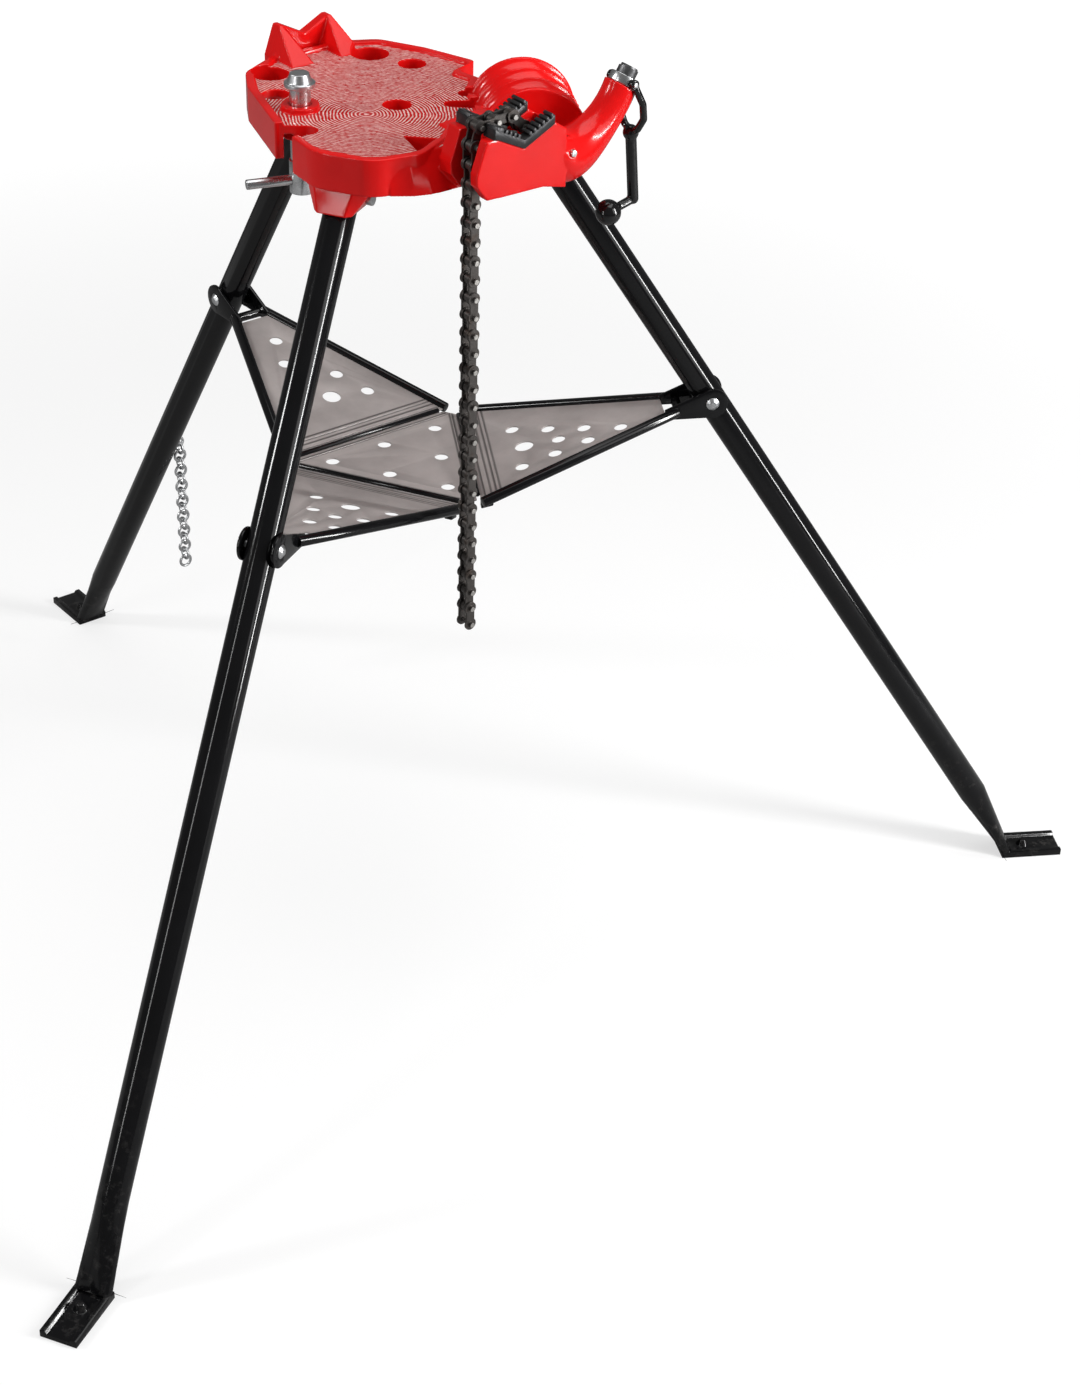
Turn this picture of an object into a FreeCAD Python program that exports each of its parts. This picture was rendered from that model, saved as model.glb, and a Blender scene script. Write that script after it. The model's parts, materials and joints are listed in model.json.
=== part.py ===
import FreeCAD, Part
import math
import os

Vector = FreeCAD.Vector

# ---------------------------------------------------------------- driving sizes (millimetres)
# The stand: three tube legs that spread from sockets under the cast head.
LEG_AZIMUTHS = {"front_left": -60.0, "front_right": 60.0, "rear": 180.0}
leg_tilt = 33.05                # legs from the vertical when open
leg_radius = 14.3
leg_wall = 2.0
pivot_height = 822.0            # leg bolts above the floor
pivot_reach = 122.9             # leg bolts from the stand's centre line
rear_pivot_extra = 15.4         # the rear leg stands further out
leg_above_pivot = 27.0          # tube above its bolt, along the tube
foot_length = 64.0              # flattened foot, from the bend to its end
foot_width = 36.0
foot_thickness = 5.0
foot_lip = 7.5                  # raised side lips of the foot
foot_squeeze = 70.0             # length over which the tube flattens

# Leg bolts and sockets.
pivot_bolt_radius = 4.0
bolt_seat_radius = 8.5
running_clearance = 0.08        # radial, round a pin that turns
stop_gap = 0.3                  # between a piece and the stop that it rests on
socket_wall = 8.0
socket_floor = pivot_height - 10.0  # lowest edge of the leg sockets
socket_relief = 9.0             # room for the tube's top end as the leg folds
socket_flare = 33.0             # half width where a socket meets the skirt
socket_corner = 14.0            # cut off a socket's outer corners where it meets the skirt
socket_mouth_wall = 2.8         # beside the tube at a socket's lowest edge

# The cast head; its heights follow from the leg bolts.
plate_top = pivot_height + 44.0
plate_thickness = 8.0
rim_height = 3.0                # rim above the plate
skirt_depth = 30.0
skirt_wall = 7.0
collar_wall = 5.0               # round the openings, down to the skirt's lowest edge

# Folding tray: a centre triangle and three wings pinned to the legs.
tray_pin_height = 561.8
tray_pin_radius = 4.0
tray_height = 507.5             # the centre triangle
tray_inradius = 59.5            # centre line to each fold line
sheet = 1.6
fold_gap = 3.0                  # from each fold line to the sheet
corner_gap = 9.0                # corners of the wings cut back for the fold
edge_rod_radius = 5.0
ear_thickness = 3.0
ear_radius = 15.0
ear_side_gap = 0.5              # between an ear and the leg tube
tray_hole_radius = 6.5
fold_curl_radius = 2.4          # rolled edges of the centre triangle
fold_curl_sink = 0.4            # into the centre's sheet
fold_curl_end = 12.0            # rolled edges stop short of the wings' edge rods
panel_corner_cut = 14.0         # off each corner of the centre triangle
panel_corner_half = 10.0        # half width left at the cut corner
panel_hole_pitch = 60.0         # the centre's six holes stand in a triangle
hook_side = 82.0
hook_width = 8.0
hook_drop = 13.0

# Vise on the head: jaw, chain, tension screw and crank.
vise_x = 153.5                  # plane of the chain and of the horn
jaw_y = -2.0                    # pipe's centre line
jaw_x_back = 123.0
jaw_x_front = 178.0
chain_slot = 27.0
jaw_v_height = plate_top + 19.0  # bottom of the V
jaw_angle = 26.0                # each arm above the horizontal
jaw_arm = 35.0
jaw_thickness = 7.0
finger_floor = jaw_v_height + 6.0  # flat seat of the chain fingers
finger_height = 10.0
finger_flat = 5.5               # along the top of a finger
finger_end_gap = 2.3            # from the hooked pin to a finger's upper edge
tooth_height = 3.0
tooth_pitch = 5.0
block_floor = plate_top - 28.0
block_end = 44.0                # the flat sided block ends here and the elbow goes on
horn_end_y = 119.6
horn_end_z = plate_top + 35.0
horn_rise = 56.4                # horn above the horizontal
horn_radius = 15.0
horn_length = 74.0
screw_radius = 9.0
horn_bore_gap = 1.6             # between the screw and the horn's bore
channel_room = 2.0              # round the chain, inside the casting

finger_gap = 16.0               # between the two fingers; the pins are longer
web_thickness = 6.0             # the jaw's web between its two rows of teeth
web_end = 2.6                   # the web stops short of the chain
jaw_bolt_radius = 2.5
jaw_bolt_length = 22.0
channel_pin_radius = 3.0
channel_pin_y = 50.4
channel_pin_z = plate_top - 4.2

# Roller chain.
chain_pitch = 17.2
chain_plate_radius = 6.0
chain_waist = 4.3
chain_plate = 1.8
chain_inner_width = 6.4
chain_side_gap = 0.2
chain_pin_radius = 2.4
chain_pin_length = 20.5
chain_bush_wall = 0.9
chain_roller_radius = 4.6
hang_y = -39.8
hang_z = plate_top + 14.8
SEGMENT_LINKS = [5, 5, 5, 6, 6]
# Each link's angle above the horizontal, from the hanging part over the jaw and down to the screw.
CHAIN_COURSE = [74.8, 4.6, 3.7, -44.0, -40.0, -30.0, -22.0, -18.0]
LIFTED_LINKS = 4                # links that lift off the jaw with the hanging part

# Ceiling brace screw.
brace_x = -30.3
brace_y = -89.5
brace_radius = 9.5
brace_boss_radius = 17.0
brace_boss_height = 5.0
brace_boss_depth = 16.0
brace_cap_height = plate_top + 32.5
brace_low = plate_top - 76.5
brace_head_radius = 11.0
brace_head_length = 30.0
brace_bar_radius = 4.5
brace_bar_length = 96.0
brace_bar_out = 51.0            # bar end from the screw's axis on its long side

# ---------------------------------------------------------------- worked out from them
tilt = math.radians(leg_tilt)
leg_slope = math.tan(tilt)
plate_under = plate_top - plate_thickness
skirt_floor = plate_top - skirt_depth
tray_pin_reach = pivot_reach + (pivot_height - tray_pin_height) * leg_slope
bend_height = foot_thickness + leg_radius
bend_reach = pivot_reach + (pivot_height - bend_height) * leg_slope
foot_reach = bend_reach + foot_length
rear_reach = foot_reach + rear_pivot_extra
front_half = math.cos(math.radians(60.0))
front_side = math.sin(math.radians(60.0))
front_reach = foot_reach * front_half + foot_width / 2 * front_side
centre_x = (rear_reach - front_reach) / 2


JAW_BOLT_X = (vise_x - 7, vise_x + 7)
jaw_seat = jaw_thickness / math.cos(math.radians(jaw_angle))  # jaw's thickness, straight down
leg_half = leg_radius + ear_side_gap


def box(x0, x1, y0, y1, z0, z1):
    return Part.makeBox(x1 - x0, y1 - y0, z1 - z0, Vector(x0, y0, z0))


def rod(start, end, radius):
    along = end - start
    return Part.makeCylinder(radius, along.Length, start, along)


def fuse(shapes):
    whole = shapes[0].multiFuse(shapes[1:]) if len(shapes) > 1 else shapes[0]
    return whole.removeSplitter()


def group(shapes):
    return Part.makeCompound(shapes)


def prism_x(points, x0, x1):
    corners = [Vector(x0, y, z) for y, z in points]
    face = Part.Face(Part.makePolygon(corners + corners[:1]))
    return face.extrude(Vector(x1 - x0, 0, 0))


def prism_z(points, z0, z1):
    corners = [Vector(x, y, z0) for x, y in points]
    face = Part.Face(Part.makePolygon(corners + corners[:1]))
    return face.extrude(Vector(0, 0, z1 - z0))


def rounded_prism(points, radii, z0, z1):
    """Upright prism over a polygon whose corners are arcs of the given radii."""
    edges = []
    tangents = []
    count = len(points)
    for i in range(count):
        here = Vector(points[i][0], points[i][1], z0)
        before = Vector(points[i - 1][0], points[i - 1][1], z0) - here
        after = Vector(points[(i + 1) % count][0], points[(i + 1) % count][1], z0) - here
        before.normalize()
        after.normalize()
        half = before.getAngle(after) / 2
        cut = radii[i] / math.tan(half)
        middle = before + after
        middle.normalize()
        centre = here + middle * (radii[i] / math.sin(half))
        tangents.append((here + before * cut, centre - middle * radii[i], here + after * cut))
    for i in range(count):
        first, mid, last = tangents[i]
        edges.append(Part.Arc(first, mid, last).toShape())
        edges.append(Part.LineSegment(last, tangents[(i + 1) % count][0]).toShape())
    return Part.Face(Part.Wire(edges)).extrude(Vector(0, 0, z1 - z0))


def turned(shape, azimuth):
    copy = shape.copy()
    copy.rotate(Vector(0, 0, 0), Vector(0, 0, 1), azimuth)
    return copy


def save(name, shape):
    placed = shape.copy()
    placed.translate(Vector(centre_x, 0, 0))
    placed.exportStep("parts/" + name + ".step")


def pivot_extra(name):
    return rear_pivot_extra if name == "rear" else 0.0


# ---------------------------------------------------------------- head casting
PLATE_POINTS = [(-150, -42), (-128, -84), (-96, -102), (0, -133), (66, -140), (112, -112),
                (122, -68), (102, -28), (86, -6), (92, 24), (58, 44), (20, 62), (0, 82), (-27, 77),
                (-36, 106), (-92, 88), (-134, 66), (-150, 34)]
PLATE_RADII = [14, 22, 20, 4, 36, 30, 26, 30, 8, 8, 8, 6, 4, 9, 6, 30, 20, 14]


def plate_shell():
    centre = (-20.0, -18.0)
    outer = rounded_prism(PLATE_POINTS, PLATE_RADII, skirt_floor, plate_top + rim_height)
    inner_points = []
    for x, y in PLATE_POINTS:
        reach = math.hypot(x - centre[0], y - centre[1])
        share = 1 - (skirt_wall + 1.5) / reach
        inner_points.append((centre[0] + (x - centre[0]) * share, centre[1] + (y - centre[1]) * share))
    inner = rounded_prism(inner_points, PLATE_RADII, skirt_floor - 1, plate_under)
    basin = rounded_prism(inner_points, PLATE_RADII, plate_top, plate_top + rim_height + 1)
    return outer.cut(inner).cut(basin)


# Round openings in the plate: centre, radius, and how far down the casting goes round each of them.
PLATE_HOLES = [(-111.6, 40.6, 17.0, skirt_depth), (-118.3, -63.8, 17.0, skirt_depth),
               (-68.5, 57.3, 12.5, skirt_depth), (9.0, -14.0, 12.5, skirt_depth),
               (-72.0, -88.0, 12.0, plate_thickness)]
KEYHOLE = [(7, -107), (25, -121), (28, -150), (-9, -150), (-7, -127)]
KEYHOLE_CENTRE = (15.0, -114.0)
keyhole_radius = 10.5
TOOL_SLOT = [(73, -52), (97, -28), (108, -62)]


def plate_openings():
    low = socket_floor
    high = rest_peak + 1
    cuts = []
    for x, y, radius, depth in PLATE_HOLES:
        cuts.append(Part.makeCylinder(radius, high - low, Vector(x, y, low)))
    x, y = KEYHOLE_CENTRE
    cuts.append(Part.makeCylinder(keyhole_radius, high - low, Vector(x, y, low)))
    cuts.append(prism_z(KEYHOLE, low, high))
    cuts.append(prism_z(TOOL_SLOT, low, high))
    return cuts


def collars():
    """Walls of the casting round the openings, inside the skirt."""
    walls = []
    for x, y, radius, depth in PLATE_HOLES:
        if depth > plate_thickness:
            walls.append(Part.makeCylinder(radius + collar_wall, depth, Vector(x, y, plate_top - depth)))
    x, y = KEYHOLE_CENTRE
    walls.append(Part.makeCylinder(keyhole_radius + collar_wall, skirt_depth, Vector(x, y, skirt_floor)))
    corners = [Vector(x, y, skirt_floor) for x, y in TOOL_SLOT]
    slot = Part.Face(Part.makePolygon(corners + corners[:1])).makeOffset2D(collar_wall)
    walls.append(slot.extrude(Vector(0, 0, skirt_depth)))
    return walls


def bend_slots():
    """Bays in the plate that narrow away from the bender's two rear grooves."""
    cuts = []
    low = skirt_floor - drum_point.z - 1
    for number, reach in ((0, 57.0), (1, 73.0)):
        middle = groove_start + groove_pitch * (number + 0.5)
        half = groove_pitch / 2 - 1
        tip = bay_tip_radius
        mouth = -drum_radius * 0.7
        end = Part.makeCylinder(tip, drum_radius, Vector(middle - bay_lean, -reach + tip, low))
        corners = [Vector(middle - bay_lean - tip, -reach + tip, low), Vector(middle - half, mouth, low),
                   Vector(middle + half, mouth, low), Vector(middle - bay_lean + tip, -reach + tip, low)]
        run = Part.Face(Part.makePolygon(corners + corners[:1])).extrude(Vector(0, 0, drum_radius))
        slot = turned(end.fuse(run), drum_azimuth)
        slot.translate(drum_point)
        cuts.append(slot)
    return cuts


rest_back = -165.0
rest_thickness = 11.0
rest_valley = plate_top + 15.0
rest_peak = plate_top + 27.5
REST_SIDES = (-28.0, 25.0)      # the two peaks, each with a rib towards the plate
rest_rib_half = 12.0
rest_rib_length = 38.0


def pipe_rest():
    """Upright V at the rear edge, with a rib in front of each of its two peaks."""
    left, right = REST_SIDES
    middle = (left + right) / 2
    foot = rest_rib_half
    profile = [(left - foot, plate_under), (left - foot, plate_top), (left - 2, rest_peak),
               (left + 2, rest_peak), (middle, rest_valley), (right - 2, rest_peak), (right + 2, rest_peak),
               (right + foot, plate_top), (right + foot, plate_under)]
    shapes = [prism_x(profile, rest_back, rest_back + rest_thickness)]
    toe = rest_back + rest_thickness + rest_rib_length
    for y in REST_SIDES:
        corners = [(y - foot, plate_top - 1), (y - 2, rest_peak), (y + 2, rest_peak),
                   (y + foot, plate_top - 1)]
        ridge = prism_x(corners, rest_back + 1, toe)
        slope = Part.Face(Part.makePolygon([Vector(rest_back, y - foot, plate_under),
                                            Vector(rest_back, y - foot, rest_peak + 1),
                                            Vector(rest_back + rest_thickness, y - foot, rest_peak),
                                            Vector(toe, y - foot, plate_top - 1),
                                            Vector(rest_back, y - foot, plate_under)]))
        shapes.append(ridge.common(slope.extrude(Vector(0, 2 * foot, 0))))
    return shapes


# Bender: grooved half drum beside the vise.
drum_azimuth = -28.4
drum_point = Vector(70.0, 83.4, plate_top - 21.0)
drum_radius = 49.6
drum_inner_radius = 34.0
groove_pitch = 24.7
groove_depth = 8.0
groove_start = -37.0
groove_count = 3
bay_tip_radius = 7.5
bay_lean = 5.0                  # the bays lean to the drum's rear end


def bender_drum():
    width = groove_pitch * groove_count
    points = [Vector(groove_start - 3, 0, drum_inner_radius), Vector(groove_start - 3, 0, drum_radius)]
    edges = []
    edges.append(Part.makeLine(points[0], points[1]))
    edges.append(Part.makeLine(points[1], Vector(groove_start, 0, drum_radius)))
    for i in range(groove_count):
        first = groove_start + groove_pitch * i
        edges.append(Part.Arc(Vector(first, 0, drum_radius),
                              Vector(first + groove_pitch / 2, 0, drum_radius - groove_depth),
                              Vector(first + groove_pitch, 0, drum_radius)).toShape())
    end = groove_start + width
    edges.append(Part.makeLine(Vector(end, 0, drum_radius), Vector(end + 4, 0, drum_radius - 1)))
    edges.append(Part.makeLine(Vector(end + 4, 0, drum_radius - 1), Vector(end + 4, 0, drum_inner_radius)))
    edges.append(Part.makeLine(Vector(end + 4, 0, drum_inner_radius), points[0]))
    ring = Part.Face(Part.Wire(edges)).revolve(Vector(0, 0, 0), Vector(1, 0, 0), 360)
    face = Part.makeCylinder(drum_inner_radius + 1, 8, Vector(end - 4, 0, 0), Vector(1, 0, 0))
    drum = turned(ring.fuse(face), drum_azimuth)
    drum.translate(drum_point)
    below = box(-200, 300, -200, 300, 700, skirt_floor)
    return drum.cut(below)


def horn_point(along):
    """A point on the horn's axis, measured down from its open end."""
    rise = math.radians(horn_rise)
    return Vector(vise_x, horn_end_y - along * math.cos(rise), horn_end_z - along * math.sin(rise))


def horn_axis():
    rise = math.radians(horn_rise)
    return Vector(0, math.cos(rise), math.sin(rise))


def jaw_line(y):
    """Height of the V at a distance from the pipe's centre line."""
    return jaw_v_height + abs(y - jaw_y) * math.tan(math.radians(jaw_angle))


def finger_root():
    """Where the fingers' flat seat meets the V."""
    return jaw_y - (finger_floor - jaw_v_height + jaw_seat) / math.tan(math.radians(jaw_angle))


def elbow_section(centre, rise, aside, upward):
    """Oval across the elbow, square to its run at an angle above the horizontal."""
    angle = math.radians(rise)
    up = Vector(0, -math.sin(angle), math.cos(angle))
    oval = Part.Ellipse(centre + up * upward, centre + Vector(aside, 0, 0), centre)
    return Part.Wire(oval.toShape())


def elbow():
    """Round elbow from the block's flat end up to the horn's open end."""
    widest = jaw_x_front - 1 - vise_x
    run = block_end - 4
    sections = [elbow_section(Vector(vise_x, run, plate_top - 7), 0, widest, widest + 3.5),
                elbow_section(Vector(vise_x, run + 26, plate_top - 12.4), 24, widest - 0.2, widest),
                elbow_section(Vector(vise_x, run + 45.5, plate_top - 3.7), 44, 18.4, 18.8),
                elbow_section(horn_point(26), horn_rise, horn_radius + 0.3, horn_radius + 0.5),
                elbow_section(horn_point(0), horn_rise, horn_radius, horn_radius + 0.1)]
    return Part.makeLoft(sections, True)


def bridge_skirt():
    """The plate's skirt goes on to the vise block."""
    sections = []
    for corners, height in (
            ([(96, -100), (117, -97), (128, -80), (133, -65), (134, -50), (134, 20), (70, 20), (70, -60)],
             skirt_floor),
            ([(96, -98), (114, -94), (117.5, -78), (115, -60), (112, -42), (112, 20), (70, 20), (70, -60)],
             plate_top)):
        points = [Vector(x, y, height) for x, y in corners]
        sections.append(Part.Wire(Part.makePolygon(points + points[:1])))
    return Part.makeLoft(sections, True, True)


def vise_block():
    outline = [(-41, finger_floor), (finger_root(), finger_floor), (jaw_y, jaw_v_height - jaw_seat),
               (31, jaw_line(31) - jaw_seat), (block_end, plate_top + 19), (block_end, block_floor - 5.7),
               (20, block_floor), (-40, block_floor + 1), (-50.5, block_floor + 15), (-51, block_floor + 25)]
    front = prism_x(outline, jaw_x_back, jaw_x_front - 1)
    bridge = prism_x([(-12, skirt_floor), (-12, plate_top + 2), (20, plate_top + 6), (70, plate_top + 4),
                      (84, plate_top - 14), (84, skirt_floor)], 70, jaw_x_back + 10)
    return [front, bridge, elbow()]


def chain_channel():
    """Slot that the chain runs through, from the fingers and down into the horn."""
    low = vise_x - chain_slot / 2
    high = vise_x + chain_slot / 2
    lowest = block_floor - 20
    highest = horn_end_z + 20
    drop = prism_x([(-70, lowest), (-70, highest), (-27, highest), (-27, lowest)], low, high)
    room = chain_plate_radius + channel_room
    path = chain_path()[LIFTED_LINKS - 1:]
    under = [(p.y - room * 0.6, p.z - room * 0.9) for p in path]
    under[0] = (path[0].y - room, path[0].z)
    under[-1] = (path[-1].y + 2, path[-1].z - room)
    over = [(path[-1].y + room, path[-1].z + 2), (path[-1].y, path[-1].z + room + 2),
            (path[-2].y, path[-2].z + room + 2), (path[-3].y, path[-3].z + room + 2),
            (jaw_arm + 2, path[-4].z + room + 6), (jaw_arm + 2, highest), (path[0].y - room, highest)]
    descent = prism_x(under + over, low, high)
    return [drop, descent]


def chain_path():
    """Pin centres of the chain from the hanging part's top back to the clevis in the horn."""
    points = [Vector(vise_x, hang_y, hang_z)]
    for angle in CHAIN_COURSE:
        step = math.radians(angle)
        points.append(points[-1] + Vector(0, math.cos(step), math.sin(step)) * chain_pitch)
    points.append(meeting_point(points[-1]))
    return points


def meeting_point(last):
    """The point on the horn's axis that lies one link on from the chain's last joint."""
    along = (horn_point(0) - last).dot(horn_axis())
    foot = horn_point(along)
    aside = (foot - last).Length
    return foot + horn_axis() * math.sqrt(max(chain_pitch ** 2 - aside ** 2, 0.0))


def leg_frame_polygon(points, extra, half_width):
    """Prism across a leg's upright plane; points are (reach, height)."""
    corners = [Vector(r + extra, -half_width, z) for r, z in points]
    face = Part.Face(Part.makePolygon(corners + corners[:1]))
    return face.extrude(Vector(0, 2 * half_width, 0))


def reach_at(height):
    return pivot_reach + (pivot_height - height) * leg_slope


def socket_section(name, inner, outer, half, height, corner):
    """Level section of a socket; its two outer corners are cut off."""
    extra = pivot_extra(name)
    points = [(inner, -half), (outer - corner, -half), (outer, corner - half), (outer, half - corner),
              (outer - corner, half), (inner, half)]
    corners = [Vector(reach + extra, side, height) for reach, side in points]
    return Part.Wire(Part.makePolygon(corners + corners[:1]))


def leg_socket(name):
    """Funnel from the underside of the plate down round the top of a leg."""
    side = leg_radius / math.cos(tilt)
    outside = side + stop_gap + socket_wall
    root = reach_at(plate_under) - side - 6
    edge = reach_at(skirt_floor) + outside + 4
    low = socket_section(name, reach_at(socket_floor) - 12, reach_at(socket_floor) + outside - 4.5,
                         leg_half + socket_mouth_wall, socket_floor, socket_corner / 3)
    middle = socket_section(name, root, edge, socket_flare, skirt_floor, socket_corner)
    high = socket_section(name, root, edge, socket_flare, plate_under, socket_corner)
    funnel = fuse([Part.makeLoft([low, middle], True, True), Part.makeLoft([middle, high], True, True)])
    return turned(funnel, LEG_AZIMUTHS[name])


def bolt_seats(name):
    """Flat spots in a socket's sides under its bolt's head and nut."""
    pivot = Vector(pivot_reach + pivot_extra(name), 0, pivot_height)
    face = leg_half + socket_wall
    out = Vector(0, 1, 0)
    cuts = []
    for side in (-1, 1):
        cuts.append(rod(pivot + out * side * face, pivot + out * side * (face + 20), bolt_seat_radius))
    return turned(cuts[0].fuse(cuts[1]), LEG_AZIMUTHS[name])


def leg_pocket(name):
    extra = pivot_extra(name)
    side = leg_radius / math.cos(tilt)
    stop = side + stop_gap / math.cos(tilt)
    top = plate_under
    low = socket_floor - 1
    inward = 70.0
    points = [(reach_at(low) + stop, low), (reach_at(pivot_height) + stop, pivot_height),
              (reach_at(pivot_height + 12) + stop + 3, pivot_height + 12),
              (reach_at(top) + stop + socket_relief, top), (reach_at(top) - inward, top),
              (reach_at(top) - inward, low)]
    cut = leg_frame_polygon(points, extra, leg_half)
    hole = Part.makeCylinder(pivot_bolt_radius + 0.02, 80, Vector(pivot_reach + extra, -40, pivot_height),
                             Vector(0, 1, 0))
    return turned(cut.fuse(hole), LEG_AZIMUTHS[name])


def brace_boss():
    top = plate_top + brace_boss_height
    return Part.makeCylinder(brace_boss_radius, top - (plate_under - brace_boss_depth),
                             Vector(brace_x, brace_y, plate_under - brace_boss_depth))


def base_casting():
    solids = [plate_shell(), bridge_skirt(), bender_drum(), brace_boss()] + pipe_rest() + collars()
    solids += [leg_socket(name) for name in LEG_AZIMUTHS]
    whole = fuse(solids)
    for cut in plate_openings() + bend_slots():
        whole = whole.cut(cut)
    whole = fuse([whole, bender_drum()] + vise_block())
    cuts = chain_channel()
    for name in LEG_AZIMUTHS:
        cuts += [leg_pocket(name), bolt_seats(name)]
    horn_bore = screw_radius + horn_bore_gap
    cuts.append(Part.makeCylinder(horn_bore, horn_length + 20, horn_point(horn_length), horn_axis()))
    brace_bore = brace_radius + running_clearance
    cuts.append(Part.makeCylinder(brace_bore, 2 * skirt_depth, brace_centre(skirt_floor - 10)))
    cuts.append(channel_pin())
    cuts += jaw_bolts()
    for cut in cuts:
        whole = whole.cut(cut)
    return whole


# ---------------------------------------------------------------- jaw and its fixings
def jaw_arm_prism(x0, x1):
    arm_y = jaw_arm * math.cos(math.radians(jaw_angle))
    top = [(y, jaw_line(y)) for y in (jaw_y - arm_y, jaw_y, jaw_y + arm_y)]
    low = [(y, z - jaw_seat) for y, z in top]
    return prism_x(top + low[::-1], x0, x1)


def jaw_teeth(x0, x1):
    """Rows of teeth across both arms of the V."""
    teeth = []
    slant = math.radians(jaw_angle)
    count = int(jaw_arm / tooth_pitch) - 1
    for side in (-1, 1):
        for i in range(count):
            along = tooth_pitch * (i + 1.1)
            corners = []
            for reach, lift in ((along, -0.5), (along + tooth_pitch * 0.62, -0.5),
                                (along + tooth_pitch * 0.62, tooth_height), (along, tooth_height)):
                corners.append((jaw_y + side * (reach * math.cos(slant) - lift * math.sin(slant)),
                                jaw_v_height + reach * math.sin(slant) + lift * math.cos(slant)))
            teeth.append(prism_x(corners, x0, x1))
    return teeth


def finger_outline():
    """Side view of a finger: the chain's pin hooks over its end."""
    pin = chain_path()[1]
    top = finger_floor + finger_height
    end = pin.y + chain_pin_radius + finger_end_gap
    root = finger_root()
    return [(end - 3.5, finger_floor), (root, finger_floor), (root + 6, jaw_line(root + 6)),
            (end + finger_flat, top), (end, top)]


def chain_jaw():
    low = vise_x - chain_slot / 2
    high = vise_x + chain_slot / 2
    rows = [jaw_arm_prism(jaw_x_back, low), jaw_arm_prism(high, jaw_x_front)]
    rows += jaw_teeth(jaw_x_back, low) + jaw_teeth(high, jaw_x_front)
    half_web = web_thickness / math.tan(math.radians(jaw_angle))
    floor = jaw_v_height - jaw_seat
    web_top = floor + web_thickness
    web = prism_x([(jaw_y, floor), (jaw_y - half_web, web_top), (web_end, web_top),
                   (web_end, floor + web_end + 2)], low - 1, high + 1)
    back_finger = prism_x(finger_outline(), jaw_x_back, vise_x - finger_gap / 2)
    front_finger = prism_x(finger_outline(), vise_x + finger_gap / 2, jaw_x_front)
    whole = fuse(rows + [web, back_finger, front_finger])
    for x in JAW_BOLT_X:
        hole = rod(Vector(x, jaw_y, floor - 5), Vector(x, jaw_y, floor + 20), jaw_bolt_radius + 0.2)
        whole = whole.cut(hole)
    return whole


def jaw_bolts():
    """Cap screws down through the jaw's web into the block."""
    top = jaw_v_height - jaw_seat + web_thickness
    bolts = []
    for x in JAW_BOLT_X:
        seat = Vector(x, jaw_y, top)
        up = Vector(0, 0, 1)
        shank = rod(seat - up * jaw_bolt_length, seat + up, jaw_bolt_radius)
        head = rod(seat, seat + up * 3.5, jaw_bolt_radius * 1.7)
        socket = rod(seat + up * 1.5, seat + up * 5, jaw_bolt_radius * 0.8)
        bolts.append(shank.fuse(head).cut(socket))
    return bolts


def channel_pin():
    """Short pin in the front wall of the chain's channel."""
    low = vise_x + chain_slot / 2 + 0.5
    inner = Vector(low, channel_pin_y, channel_pin_z)
    outer = Vector(jaw_x_front + 1.5, channel_pin_y, channel_pin_z)
    return rod(inner, outer, channel_pin_radius)


def leg_bolts():
    """Bolt with a round head through each leg socket."""
    bolts = []
    half = leg_half + socket_wall
    for name, azimuth in LEG_AZIMUTHS.items():
        pivot = Vector(pivot_reach + pivot_extra(name), 0, pivot_height)
        shank = rod(pivot - Vector(0, half + 8, 0), pivot + Vector(0, half, 0), pivot_bolt_radius)
        head = rod(pivot + Vector(0, half, 0), pivot + Vector(0, half + 5, 0), pivot_bolt_radius * 1.45)
        bolts.append(turned(shank.fuse(head), azimuth))
    return bolts


def leg_nuts():
    nuts = []
    half = leg_half + socket_wall
    across = pivot_bolt_radius * 1.7
    for name, azimuth in LEG_AZIMUTHS.items():
        pivot = Vector(pivot_reach + pivot_extra(name), -half - 7, pivot_height)
        corners = []
        for i in range(7):
            angle = math.radians(60 * i)
            corners.append(pivot + Vector(across * math.cos(angle), 0, across * math.sin(angle)))
        nut = Part.Face(Part.makePolygon(corners)).extrude(Vector(0, 7, 0))
        bore = rod(pivot - Vector(0, 5, 0), pivot + Vector(0, 12, 0), pivot_bolt_radius)
        nuts.append(turned(nut.cut(bore), azimuth))
    return nuts


# ---------------------------------------------------------------- legs
def leg_tube(name):
    """Round tube that flattens, bends and ends in a foot; drawn at azimuth zero."""
    extra = pivot_extra(name)
    pivot = Vector(pivot_reach + extra, 0, pivot_height)
    down = Vector(math.sin(tilt), 0, -math.cos(tilt))
    top = pivot - down * leg_above_pivot
    bend = Vector(bend_reach + extra, 0, bend_height)
    squeeze_start = bend - down * foot_squeeze
    outer = rod(top, squeeze_start, leg_radius)
    inner = rod(top, squeeze_start, leg_radius - leg_wall)
    flat = foot_profile(Vector(bend.x + foot_thickness, 0, foot_thickness), down)
    circle = Part.Wire(Part.makeCircle(leg_radius, squeeze_start, down))
    squeeze = Part.makeLoft([circle, flat], True)
    foot = foot_plate(bend_reach + extra)
    whole = outer.fuse(squeeze).fuse(foot).cut(inner)
    aside = Vector(0, 30, 0)
    whole = whole.cut(rod(pivot - aside, pivot + aside, pivot_bolt_radius + running_clearance))
    pin = Vector(tray_pin_reach + extra, 0, tray_pin_height)
    whole = whole.cut(rod(pin - aside, pin + aside, tray_pin_radius))
    if name == "rear":
        at = Vector(reach_at(keeper_height) + extra, 0, keeper_height)
        whole = whole.cut(rod(at, at - Vector(0, 30, 0), keeper_wire))
    return whole


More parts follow.
